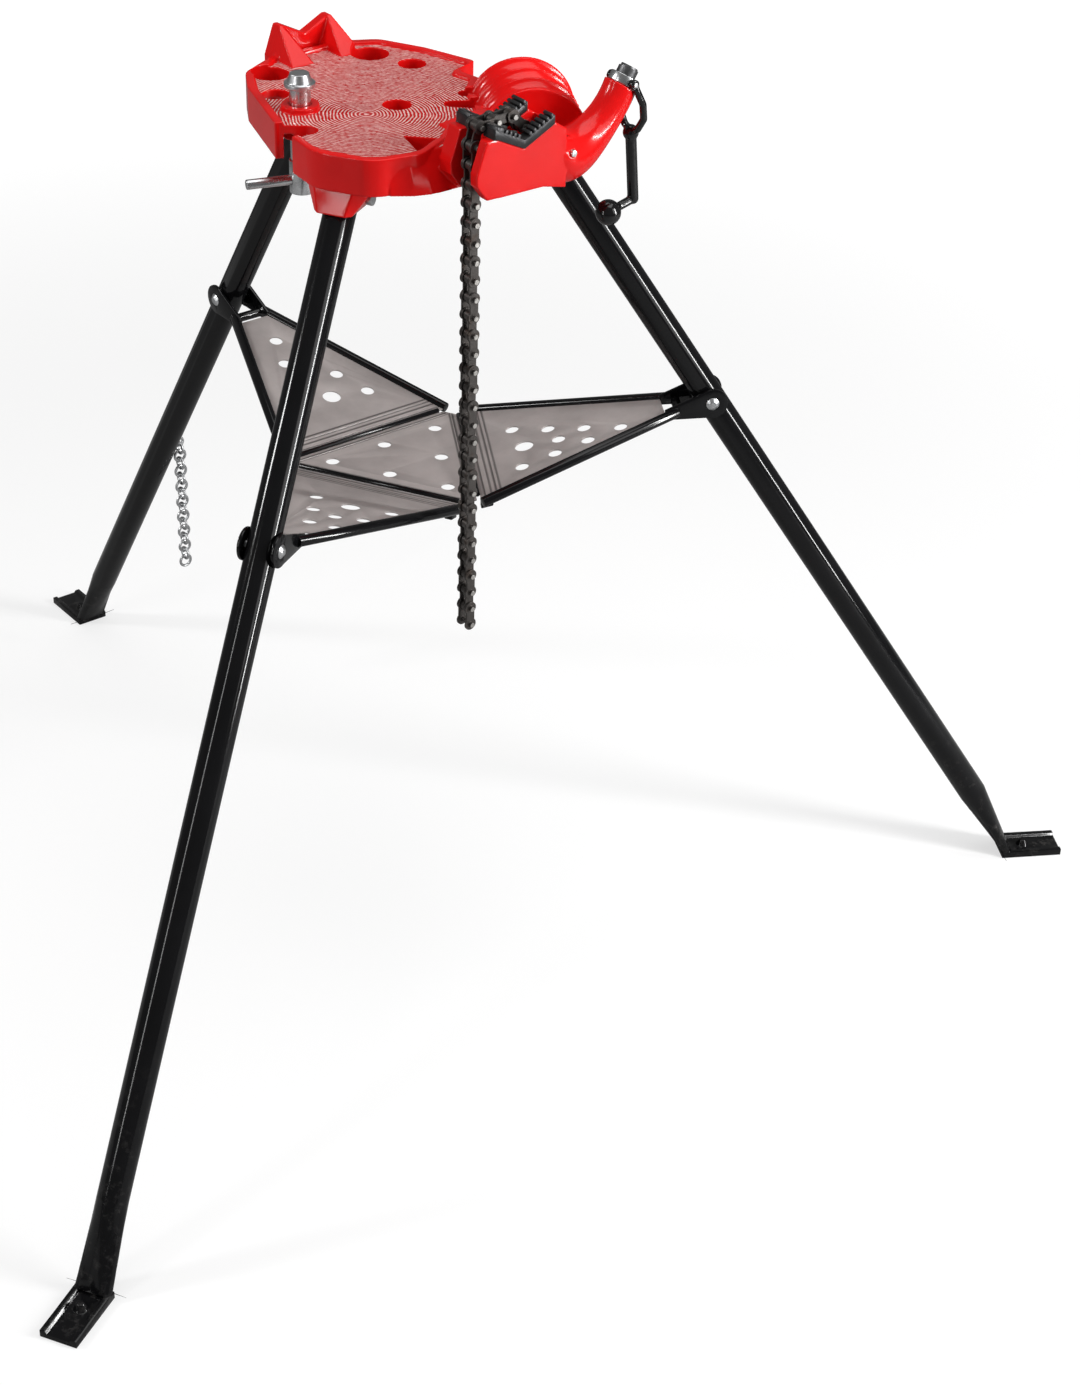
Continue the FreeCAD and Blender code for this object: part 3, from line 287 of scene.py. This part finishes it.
def red_enamel():
    """Glossy red enamel over sand-cast iron, pebbled where the plate and the rest are rough, with
    painted shade between the pebbles and painted highlights on their tips.
    """
    colours = bpy.context.scene.vise_colours
    head = bpy.context.scene.vise_head
    made = Finish("red_enamel", Specular_IOR_Level=0.30)

    near, far = 0.8 * MM, 1.6 * MM
    height = made.along(made.place(), "Z")
    level = height.ramp(head.plate_top - far, head.plate_top - near)
    level = level * (1.0 - height.ramp(head.plate_top + near, head.plate_top + far))
    pebbled = level * made.along(made.normal(), "Z").ramp(0.90, 0.97)

    rings = made.rings(head.pebble, PLATE_MIDDLE)
    grains = made.cells(head.pebble)
    pips = (rings * 0.75 + (0.55 - grains) * 0.6).ramp(0.38, 0.62)
    raised = pips * pebbled

    tint = made.noise(40 * MM, detail=3.0)
    body = made.blend(tint.ramp(0.3, 0.7), tone(colours.red), tone(colours.red, 0.93))
    # Painted shade: the pebbled face's red is darker, standing in for the shade in the hollows
    # between the pebbles.
    body = made.blend(pebbled, body, tone(colours.red, 0.72))
    # Painted highlight: the raised pebbles' tips are pale pink, standing in for glints of light on
    # them; glint varies how pale.
    glint = made.noise(7 * MM, detail=3.0).ramp(0.25, 0.75) * 0.35 + 0.6
    painted_tip_highlights = made.blend(raised * glint, body, tone(colours.red_tip))

    skin = made.relief(made.noise(6 * MM, detail=3.0, roughness=0.55), 0.10 * MM, 0.5)
    rough = made.relief(raised, 0.85 * MM, under=skin)
    peel = made.relief(made.noise(1.6 * MM, detail=1.0), 0.012 * MM, 0.6, under=rough)
    made.set(base_color=painted_tip_highlights, roughness=0.15 + pebbled * 0.10 + tint * 0.04, normal=peel)
    return made.material


def gloss_black():
    """Glossy black enamel on steel tube and rod: a fine orange peel, dulled and dusty low down."""
    colours = bpy.context.scene.vise_colours
    made = Finish("gloss_black", Specular_IOR_Level=0.30)
    patches = made.noise(60 * MM, detail=4.0, roughness=0.6)
    low = made.along(made.place(), "Z").ramp(DUST_HEIGHT, 0.0)
    dust = low * made.noise(9 * MM, detail=4.0, roughness=0.65).ramp(0.5, 0.8)
    body = made.blend(patches.ramp(0.35, 0.7), tone(colours.black), tone(colours.black, 1.35))
    made.set(
        base_color=made.blend(dust * 0.35, body, tone(colours.dust)),
        roughness=0.09 + patches * 0.05 + dust * 0.2,
        normal=made.relief(made.noise(14 * MM, detail=1.0), 0.01 * MM, 0.3),
    )
    return made.material


def forged_black():
    """Black paint over a forging: rounded, a little lumpy."""
    colours = bpy.context.scene.vise_colours
    made = Finish("forged_black", Specular_IOR_Level=0.50)
    lumps = made.relief(made.noise(5 * MM), 0.06 * MM, 0.5)
    pits = made.relief(made.noise(1.2 * MM), 0.008 * MM, 0.5, under=lumps)
    tint = made.noise(14 * MM, detail=3.0)
    body = made.blend(tint, tone(colours.black), tone(colours.black, 1.6))
    made.set(base_color=body, roughness=0.10 + tint * 0.08, normal=pits)
    return made.material


def tray_grey():
    """Warm grey plated sheet: rolling marks, soft stains, ribs pressed along each fold and painted
    shade in dark lines along each rib's edges.
    """
    colours = bpy.context.scene.vise_colours
    tray = bpy.context.scene.vise_tray
    made = Finish("tray_grey", Metallic=0.15)
    stains = made.noise(45 * MM, detail=4.0, roughness=0.6)
    rolled = made.noise(1.6 * MM, stretch=(0.06, 1.0, 1.0))

    # The distance from the centre line towards whichever of the three wings is nearest.
    place = made.place()
    east = made.along(place, "X") - tray.centre
    north = made.along(place, "Y")
    reach = -1.0 * east
    for turn in (math.radians(60.0), math.radians(-60.0)):
        reach = reach.larger(east * math.cos(turn) + north * math.sin(turn))

    slope = 1.4 * MM
    line = (0.5 * MM, 1.5 * MM)
    broad, slim, inner = 3.2 * MM, 2.2 * MM, 1.6 * MM
    # edges marks thin lines along each rib's edges; they are painted dark, as painted shade
    # standing in for the shade on the ribs' slopes.
    ribs = edges = 0.0
    for middle, half in ((tray.first_rib, broad), (tray.second_rib, slim), (tray.panel_rib, inner)):
        away = abs(reach - middle)
        ribs += 1.0 - away.ramp(half - slope, half)
        edges += 1.0 - abs(away - half).ramp(*line)

    body = made.blend(stains.ramp(0.3, 0.75), tone(colours.tray), tone(colours.tray, 0.80))
    pressed = made.relief(ribs, 1.4 * MM, 0.9)
    made.set(
        # Painted shade: dark lines along the ribs' edges.
        base_color=made.blend(edges * 0.8, body, tone(colours.tray, 0.25)),
        roughness=0.30 + stains * 0.14 + rolled * 0.06,
        normal=made.relief(rolled, 0.02 * MM, 0.4, under=pressed),
    )
    return made.material


def chain_steel():
    """Oiled black-oxide chain plates, a little brown in places."""
    colours = bpy.context.scene.vise_colours
    made = Finish("chain_steel", Metallic=0.75)
    patches = made.noise(5 * MM, detail=4.0, roughness=0.65)
    brown = made.noise(13 * MM, detail=3.0, roughness=0.6).ramp(0.52, 0.75)
    body = made.blend(patches, tone(colours.chain), tone(colours.chain, 1.9))
    made.set(
        base_color=made.blend(brown * 0.5, body, tone(colours.brown)),
        roughness=0.30 + patches * 0.18,
        normal=made.relief(patches, 0.04 * MM, 0.5),
    )
    return made.material


def steel(name, colour, roughness, grain=0.8 * MM, lump=0.03 * MM, metallic=1.0, blotch=0.25):
    """Bare or plated metal: blotches of tone, a fine grain in its gloss and a small relief."""
    colour = getattr(bpy.context.scene.vise_colours, colour)
    made = Finish(name, Metallic=metallic)
    patches = made.noise(7 * MM, detail=4.0, roughness=0.6)
    fine = made.noise(grain, roughness=0.6)
    made.set(
        base_color=made.blend(patches.ramp(0.32, 0.72), tone(colour), tone(colour, 1.0 - blotch)),
        roughness=roughness + patches * 0.12 + fine * 0.08,
        normal=made.relief(fine, lump, 0.5),
    )
    return made.material


PAINTS = {
    "red_enamel": red_enamel, "gloss_black": gloss_black, "forged_black": forged_black,
    "tray_grey": tray_grey, "chain_steel": chain_steel,
}
METALS = {
    "zinc": dict(colour="zinc", roughness=0.22),
    "bright_steel": dict(colour="zinc", roughness=0.16, grain=0.5 * MM, lump=0.015 * MM),
    "jaw_steel": dict(
        colour="jaw", roughness=0.24, grain=1.4 * MM, lump=0.06 * MM, metallic=0.6, blotch=0.4
    ),
    "screw_steel": dict(colour="screw", roughness=0.30, grain=0.7 * MM, blotch=0.45),
    "pin_end": dict(
        colour="pin_end", roughness=0.24, grain=0.6 * MM, lump=0.02 * MM, blotch=0.35
    ),
}


def finish(name):
    """A finish by name, made when it is first asked for."""
    if name not in FINISHES:
        FINISHES[name] = PAINTS[name]() if name in PAINTS else steel(name, **METALS[name])
    return FINISHES[name]


# --------------------------------------------------------------------------------------------------
# Mesh helpers


def select_only(piece, *others):
    """Nothing is selected but these pieces, and the first is the active one."""
    bpy.ops.object.select_all(action="DESELECT")
    for item in (piece, *others):
        item.select_set(True)
    bpy.context.view_layer.objects.active = piece


def edit(piece, *steps):
    """Runs edit-mode steps with every part of the piece selected."""
    select_only(piece)
    bpy.ops.object.mode_set(mode="EDIT")
    bpy.ops.mesh.select_all(action="SELECT")
    for step in steps:
        step()
    bpy.ops.object.mode_set(mode="OBJECT")


def turn_over(piece, axis, angle):
    """Turns every point of the piece about an axis through the origin."""
    edit(
        piece,
        lambda: bpy.ops.transform.rotate(value=angle, orient_axis=axis, center_override=ORIGIN),
    )


def apply_modifier(piece, kind, **settings):
    """One modifier, set and applied."""
    select_only(piece)
    modifier = piece.modifiers.new(kind.title(), kind)
    for name, value in settings.items():
        setattr(modifier, name, value)
    bpy.ops.object.modifier_apply(modifier=modifier.name)


def clean_copy(node):
    """A node's mesh in a piece of its own, its triangles merged into whole faces."""
    name = node + "_finished"
    mesh = frame["nodes"][node].data.copy()
    mesh.name = name
    mesh.materials.clear()
    piece = bpy.data.objects.new(name, mesh)
    bpy.context.scene.collection.objects.link(piece)
    select_only(piece)
    bpy.ops.mesh.customdata_custom_splitnormals_clear()
    edit(
        piece,
        lambda: bpy.ops.mesh.remove_doubles(threshold=WELD),
        lambda: bpy.ops.mesh.dissolve_limited(angle_limit=FLAT_ANGLE),
    )
    return piece


def smooth(piece, angle=SHADE_ANGLE):
    """Smooth shading across every edge that is blunter than the angle."""
    select_only(piece)
    bpy.ops.object.shade_smooth_by_angle(angle=angle, keep_sharp_edges=False)


def soften_edges(piece, width, segments=2):
    """Rounds every edge sharper than EDGE_ANGLE."""
    apply_modifier(
        piece, "BEVEL", width=width, segments=segments, limit_method="ANGLE",
        angle_limit=EDGE_ANGLE, use_clamp_overlap=False, miter_outer="MITER_ARC",
    )


def settle(piece, node, look):
    """The piece stands for its node, rides on the node's body and takes its finish."""
    piece.data.materials.clear()
    piece.data.materials.append(finish(look))
    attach(piece, frame["nodes"][node]["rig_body"])
    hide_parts(node)
    return piece


def dress(node, look, edge, segments=2):
    """A node's own shape with rounded edges and its finish."""
    piece = clean_copy(node)
    soften_edges(piece, edge, segments)
    smooth(piece)
    return settle(piece, node, look)


def recast(node, look, voxel, passes, faces):
    """A node's own shape as one cast or forged skin, every edge flowing into the next."""
    piece = clean_copy(node)
    size = voxel * 1.0
    apply_modifier(piece, "REMESH", mode="VOXEL", voxel_size=size, use_smooth_shade=True)
    apply_modifier(piece, "SMOOTH", factor=0.5, iterations=passes)
    made = sum(len(face.vertices) - 2 for face in piece.data.polygons)
    if made > faces:
        apply_modifier(piece, "DECIMATE", ratio=faces / made)
    smooth(piece, CAST_SHADE_ANGLE)
    return settle(piece, node, look)


def narrow(piece, foot, along, bar, radius):
    """Points whose radius lies between bar's two sizes move in to a smaller radius."""
    for point in piece.data.vertices:
        away = point.co - foot
        out = away - along * away.dot(along)
        if bar[0] < out.length < bar[1]:
            point.co -= out * (1.0 - radius / out.length)


def ridge(name, foot, along, run, crest, pitch):
    """A three-sided ridge that winds up an axis from its foot, crest being its outer radius."""
    bpy.ops.mesh.primitive_circle_add(
        vertices=3, radius=RIDGE_RADIUS * pitch, fill_type="NOTHING", location=ORIGIN
    )
    piece = bpy.context.object
    piece.name = name
    turn_over(piece, "X", math.radians(90.0))
    corner = max(piece.data.vertices, key=lambda point: abs(point.co.x) + abs(point.co.z)).co
    turn_over(piece, "Y", math.atan2(corner.z, corner.x))
    outward = crest - max(point.co.x for point in piece.data.vertices)
    edit(piece, lambda: bpy.ops.transform.translate(value=(outward, 0.0, pitch / 2)))
    apply_modifier(
        piece, "SCREW", axis="Z", screw_offset=pitch, iterations=max(1, round(run / pitch) - 1),
        steps=RIDGE_STEPS, render_steps=RIDGE_STEPS, angle=math.tau,
    )
    tilt = along.to_track_quat("Z", "Y").to_matrix().to_4x4()
    piece.data.transform(Matrix.Translation(foot) @ tilt)
    return piece


def thread_bar(node, look, foot, along, run, bar, rod, crest, pitch):
    """A screw whose plain bar is narrowed to a rod with a thread's ridge wound round it."""
    screw = clean_copy(node)
    narrow(screw, foot, along, bar, rod)
    coil = ridge(node + "_thread", foot, along, run, crest, pitch)
    soften_edges(screw, SCREW_EDGE)
    select_only(screw, coil)
    bpy.ops.object.join()
    smooth(screw)
    return settle(screw, node, look)


def second_finish(piece, look, chosen):
    """The chosen faces take another finish."""
    piece.data.materials.append(finish(look))
    slot = len(piece.data.materials) - 1
    for face in piece.data.polygons:
        if chosen(face):
            face.material_index = slot


# --------------------------------------------------------------------------------------------------
# Sizes and colours that can be changed


def colour(name, description, default):
    return FloatVectorProperty(
        name=name, description=description, subtype="COLOR", default=default
    )


def length(name, description, default, **more):
    return FloatProperty(
        name=name, description=description, unit="LENGTH", default=default, **more
    )


def angle(name, description, degrees):
    return FloatProperty(
        name=name, description=description, unit="ROTATION", default=math.radians(degrees)
    )


def quantity(name, description, unit, default):
    return FloatProperty(name=name, description=description, unit=unit, default=default)


class ViseColours(bpy.types.PropertyGroup):
    """Colours of the paints and metals, linear."""

    red: colour("Red enamel", "Enamel of the head casting", (0.74, 0.006, 0.006))
    # The pale pink of the pebble tips is a painted highlight, standing in for glints of light on
    # the pebbles.
    red_tip: colour("Red, pebble tips", "Tips of the pebbled plate", (0.96, 0.68, 0.64))
    black: colour("Black", "Paint of legs, frames and crank", (0.004, 0.004, 0.0045))
    dust: colour("Dust", "Dust on the legs' feet", (0.10, 0.095, 0.09))
    tray: colour("Tray grey", "Sheet of the tray", (0.50, 0.455, 0.44))
    chain: colour("Chain", "Plates and rollers of the chain", (0.058, 0.053, 0.050))
    brown: colour("Brown", "Aged patches of the chain", (0.075, 0.045, 0.030))
    pin_end: colour("Pin ends", "Ground ends of the chain's pins", (0.62, 0.60, 0.57))
    jaw: colour("Jaw", "Hardened jaw", (0.045, 0.045, 0.047))
    zinc: colour("Zinc", "Plated pins, bolts and bars", (0.72, 0.73, 0.74))
    screw: colour("Screw", "Tension screw", (0.17, 0.17, 0.175))
    floor: colour("Floor", "Pale floor", (0.86, 0.86, 0.86))


class ViseHead(bpy.types.PropertyGroup):
    """Sizes of the head casting's finish."""

    plate_top: length("Plate top", "Height of the plate", 866 * MM)
    pebble: length("Pebble", "Pitch of the pebbled face", 3.0 * MM)
    voxel: length("Voxel", "Cell of the casting's skin", 0.9 * MM)
    passes: IntProperty(
        name="Smoothing", description="Passes over the casting's skin", default=2
    )
    faces: IntProperty(
        name="Triangles", description="Most triangles of the casting", default=180000
    )


class ViseScrews(bpy.types.PropertyGroup):
    """Rods and thread ridges of the tension screw and the brace screw."""

    tension_run: length("Tension thread", "Length of the tension screw's thread", 41 * MM)
    tension_rod: length("Tension rod", "Radius of the tension screw's root", 7.8 * MM)
    tension_crest: length("Tension crest", "Outer radius of the tension screw", 9.0 * MM)
    tension_pitch: length("Tension pitch", "Pitch of the tension screw's ridge", 3.0 * MM)
    brace_rod: length("Brace rod", "Radius of the brace screw's root", 7.5 * MM)
    brace_crest: length("Brace crest", "Outer radius of the brace screw", 9.45 * MM)
    brace_pitch: length("Brace pitch", "Pitch of the brace screw's ridge", 4.0 * MM)


class ViseTray(bpy.types.PropertyGroup):
    """Pressed lines of the tray, measured from the tripod's centre line."""

    centre: length("Centre", "Tripod's centre line along X", 177.2 * MM, precision=5)
    first_rib: length("First rib", "Broad rib of a wing", 70 * MM)
    second_rib: length("Second rib", "Narrow rib of a wing", 80 * MM)
    panel_rib: length("Panel rib", "Rib of the centre", 53 * MM)


class ViseStage(bpy.types.PropertyGroup):
    """Camera, lights and floor."""

    camera: FloatVectorProperty(
        name="Camera", description="Place of the camera", subtype="TRANSLATION",
        default=(2.0475, -1.3199, 1.7177),
    )
    heading: angle("Heading", "Compass angle of the view", 141.382)
    dip: angle("Dip", "Angle of the view below level", 32.772)
    roll: angle("Roll", "Turn of the camera about its view", 1.662)
    lens: quantity("Lens", "Focal length", "CAMERA", 70.14)
    sensor: quantity("Sensor", "Long side of the sensor", "CAMERA", 36.0)
    key: quantity("Key", "Power of the large soft light", "POWER", 38.0)
    top: quantity("Top", "Power of the light overhead", "POWER", 36.0)
    fill: quantity("Fill", "Power of the far light", "POWER", 18.0)
    strip: quantity("Strip", "Power of the narrow lights", "POWER", 85.0)
    world: FloatProperty(name="World", description="Strength of the room light", default=0.15)


# --------------------------------------------------------------------------------------------------
# Stage


def add_camera(stage):
    """A camera at a given place, heading, dip and roll."""
    level = math.cos(stage.dip)
    view = Vector((
        math.cos(stage.heading) * level, math.sin(stage.heading) * level, -math.sin(stage.dip)
    ))
    turn = view.to_track_quat("-Z", "Y").to_matrix().to_4x4() @ Matrix.Rotation(stage.roll, 4, "Z")
    bpy.ops.object.camera_add(location=stage.camera, rotation=turn.to_euler())
    camera = bpy.context.object
    camera.data.lens = stage.lens
    camera.data.sensor_width = stage.sensor
    camera.data.clip_end = FAR_CLIP
    bpy.context.scene.camera = camera


def add_light(name, place, size, power):
    """A soft rectangular light that looks at the vise."""
    turn = (Vector(AIM) - Vector(place)).to_track_quat("-Z", "Y").to_euler()
    bpy.ops.object.light_add(type="AREA", location=place, rotation=turn)
    light = bpy.context.object
    light.name = name
    light.data.shape = "RECTANGLE"
    light.data.size, light.data.size_y = size
    light.data.energy = power


def add_room(strength):
    """Dim light from all round, and a world that is white to the camera."""
    world = bpy.data.worlds.new("studio")
    bpy.context.scene.world = world
    world.use_nodes = True
    made = Nodes(world.node_tree)
    made.feed_named(
        made.tree.nodes["Background"],
        {"color": WHITE, "strength": made.camera_ray().larger(strength)},
    )


def floor_finish():
    """A pale floor that shows white to the camera and keeps the shadow."""
    colours = bpy.context.scene.vise_colours
    made = Finish(
        "pale_floor", Base_Color=tone(colours.floor, FLOOR_BOUNCE), Roughness=0.95,
        Specular_IOR_Level=0.0,
    )
    distance = made.node(
        "ShaderNodeVectorMath", {"operation": "LENGTH"}, made.place(), output="Value"
    )
    strength = FLOOR_GLOW + (1.0 - FLOOR_GLOW) * distance.ramp(*FLOOR_FADE)
    glow = made.node("ShaderNodeEmission", None, WHITE, strength)
    lit = made.node("ShaderNodeBsdfDiffuse", None, tone(colours.floor, FLOOR_SHOWN))
    shown = made.node("ShaderNodeAddShader", None, glow, lit)
    plain = Field(made, made.surface.outputs["BSDF"])
    both = made.node("ShaderNodeMixShader", None, made.camera_ray(), plain, shown)
    made.feed(made.tree.nodes["Material Output"].inputs["Surface"], both)
    return made.material


def add_floor():
    """A pale floor that isn't part of the object."""
    bpy.ops.mesh.primitive_plane_add(size=FLOOR_SIDE)
    floor = bpy.context.object
    floor.name = "floor"
    floor.data.materials.append(floor_finish())


class VISE_OT_stage(bpy.types.Operator):
    """Camera, pale floor and soft studio light."""

    bl_idname = "vise.stage"
    bl_label = "Stage"

    def execute(self, context):
        stage = context.scene.vise_stage
        add_camera(stage)
        for name, place, size, power, share in LIGHTS:
            add_light(name, place, size, getattr(stage, power) * share)
        add_room(stage.world)
        add_floor()
        context.scene.view_settings.view_transform = "Standard"
        return {"FINISHED"}


# --------------------------------------------------------------------------------------------------
# Pieces


class VISE_OT_head(bpy.types.Operator):
    """Head casting: one enamelled skin, every edge flowing into the next."""

    bl_idname = "vise.head"
    bl_label = "Head casting"

    def execute(self, context):
        head = context.scene.vise_head
        recast("base_casting", "red_enamel", head.voxel, head.passes, head.faces)
        return {"FINISHED"}


class VISE_OT_jaw(bpy.types.Operator):
    """Toothed jaw, its two cap screws and the channel's pin."""

    bl_idname = "vise.jaw"
    bl_label = "Jaw"

    def execute(self, context):
        dress("chain_jaw", "jaw_steel", edge=0.35 * MM)
        dress("jaw_bolts", "zinc", edge=0.3 * MM)
        dress("channel_pin", "zinc", edge=0.5 * MM, segments=3)
        return {"FINISHED"}


class VISE_OT_tension(bpy.types.Operator):
    """Tension screw, nut, clevis pin and forked crank."""

    bl_idname = "vise.tension"
    bl_label = "Tension gear"

    def execute(self, context):
        screws = context.scene.vise_screws
        along = Vector(JOINTS["tension_screw_rise"]["axis"]).normalized()
        middle = Vector(JOINTS["tension_nut_turn"]["pos_m"])
        points = frame["nodes"]["chain_screw"].data.vertices
        top = max((point.co - middle).dot(along) for point in points)
        thread_bar(
            "chain_screw", "screw_steel",
            foot=middle + along * (top - screws.tension_run - THREAD_STOP), along=along,
            run=screws.tension_run, bar=TENSION_BAR, rod=screws.tension_rod,
            crest=screws.tension_crest, pitch=screws.tension_pitch,
        )
        dress("tension_nut", "bright_steel", edge=0.5 * MM, segments=3)
        dress("clevis_pin", "chain_steel", edge=0.3 * MM)
        recast(
            "crank_handle", "forged_black",
            CRANK_VOXEL, CRANK_PASSES, CRANK_FACES,
        )
        return {"FINISHED"}


class VISE_OT_chain(bpy.types.Operator):
    """Roller chain: pin links with bright pin ends and roller links, stretch by stretch."""

    bl_idname = "vise.chain"
    bl_label = "Chain"

    def execute(self, context):
        for node in sorted(frame["nodes"]):
            if not (node.startswith("chain_") and node.endswith("_links")):
                continue
            piece = dress(node, "chain_steel", edge=LINK_EDGE, segments=1)
            if node.endswith("pin_links"):
                low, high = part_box(node)
                left, right = low.x + PIN_END, high.x - PIN_END
                second_finish(piece, "pin_end", lambda face: not left < face.center.x < right)
        return {"FINISHED"}


class VISE_OT_brace(bpy.types.Operator):
    """Ceiling brace: screw, turning cap and sliding bar."""

    bl_idname = "vise.brace"
    bl_label = "Brace"

    def execute(self, context):
        screws = context.scene.vise_screws
        foot = Vector(JOINTS["brace_turn"]["pos_m"])
        foot.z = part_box("brace_screw")[0].z + BRACE_HEAD
        thread_bar(
            "brace_screw", "bright_steel",
            foot=foot, along=Vector((0.0, 0.0, 1.0)), run=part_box("brace_cap")[0].z - foot.z,
            bar=BRACE_BAR, rod=screws.brace_rod, crest=screws.brace_crest,
            pitch=screws.brace_pitch,
        )
        dress("brace_cap", "zinc", edge=0.4 * MM, segments=3)
        dress("brace_bar", "bright_steel", edge=0.8 * MM, segments=3)
        return {"FINISHED"}


class VISE_OT_legs(bpy.types.Operator):
    """Three tube legs with flattened feet, their tray pins, bolts and nuts."""

    bl_idname = "vise.legs"
    bl_label = "Legs"

    def execute(self, context):
        for side in SIDES:
            dress("leg_" + side, "gloss_black", edge=0.5 * MM)
            dress("tray_pin_" + side, "zinc", edge=0.5 * MM, segments=3)
        dress("leg_bolts", "zinc", edge=0.4 * MM)
        dress("leg_bolt_nuts", "zinc", edge=0.4 * MM)
        return {"FINISHED"}


class VISE_OT_tray(bpy.types.Operator):
    """Folding tray: three wings in their frames, two hooks and the centre panel."""

    bl_idname = "vise.tray"
    bl_label = "Tray"

    def execute(self, context):
        for side in SIDES:
            dress("tray_wing_" + side, "tray_grey", edge=0.25 * MM)
            dress("wing_frame_" + side, "gloss_black", edge=0.5 * MM)
        for side in FRONT_SIDES:
            dress("wing_hook_" + side, "gloss_black", edge=1.2 * MM, segments=3)
        panel = dress("centre_panel", "tray_grey", edge=0.25 * MM)
        sheet_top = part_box("centre_panel")[0].z + SHEET + SHEET_SLACK
        second_finish(panel, "gloss_black", lambda face: face.center.z > sheet_top)
        return {"FINISHED"}


class VISE_OT_keeper(bpy.types.Operator):
    """Staple and short keeper chain on the rear leg, in their own shapes."""

    bl_idname = "vise.keeper"
    bl_label = "Keeper chain"

    def execute(self, context):
        for node in ("keeper_staple", "keeper_chain"):
            frame["nodes"][node].data.materials[0] = finish("zinc")
        return {"FINISHED"}


class VISE_PT_panel(bpy.types.Panel):
    """Pieces of the vise, in the order in which they are made."""

    bl_label = "Pipe Vise"
    bl_idname = "VISE_PT_panel"
    bl_space_type = "VIEW_3D"
    bl_region_type = "UI"
    bl_category = "Pipe Vise"

    def draw(self, context):
        for operator in OPERATORS:
            self.layout.operator(operator.bl_idname)


GROUPS = {
    "vise_colours": ViseColours, "vise_head": ViseHead, "vise_screws": ViseScrews,
    "vise_tray": ViseTray, "vise_stage": ViseStage,
}
OPERATORS = (
    VISE_OT_stage, VISE_OT_head, VISE_OT_jaw, VISE_OT_tension, VISE_OT_chain, VISE_OT_brace,
    VISE_OT_legs, VISE_OT_tray, VISE_OT_keeper,
)


def register():
    for name, group in GROUPS.items():
        bpy.utils.register_class(group)
        setattr(bpy.types.Scene, name, PointerProperty(type=group))
    for item in (*OPERATORS, VISE_PT_panel):
        bpy.utils.register_class(item)


def unregister():
    for item in (VISE_PT_panel, *reversed(OPERATORS)):
        bpy.utils.unregister_class(item)
    for name, group in GROUPS.items():
        delattr(bpy.types.Scene, name)
        bpy.utils.unregister_class(group)


def main():
    register()
    for operator in OPERATORS:
        family, name = operator.bl_idname.split(".")
        getattr(getattr(bpy.ops, family), name)()


if __name__ == "__main__":
    main()
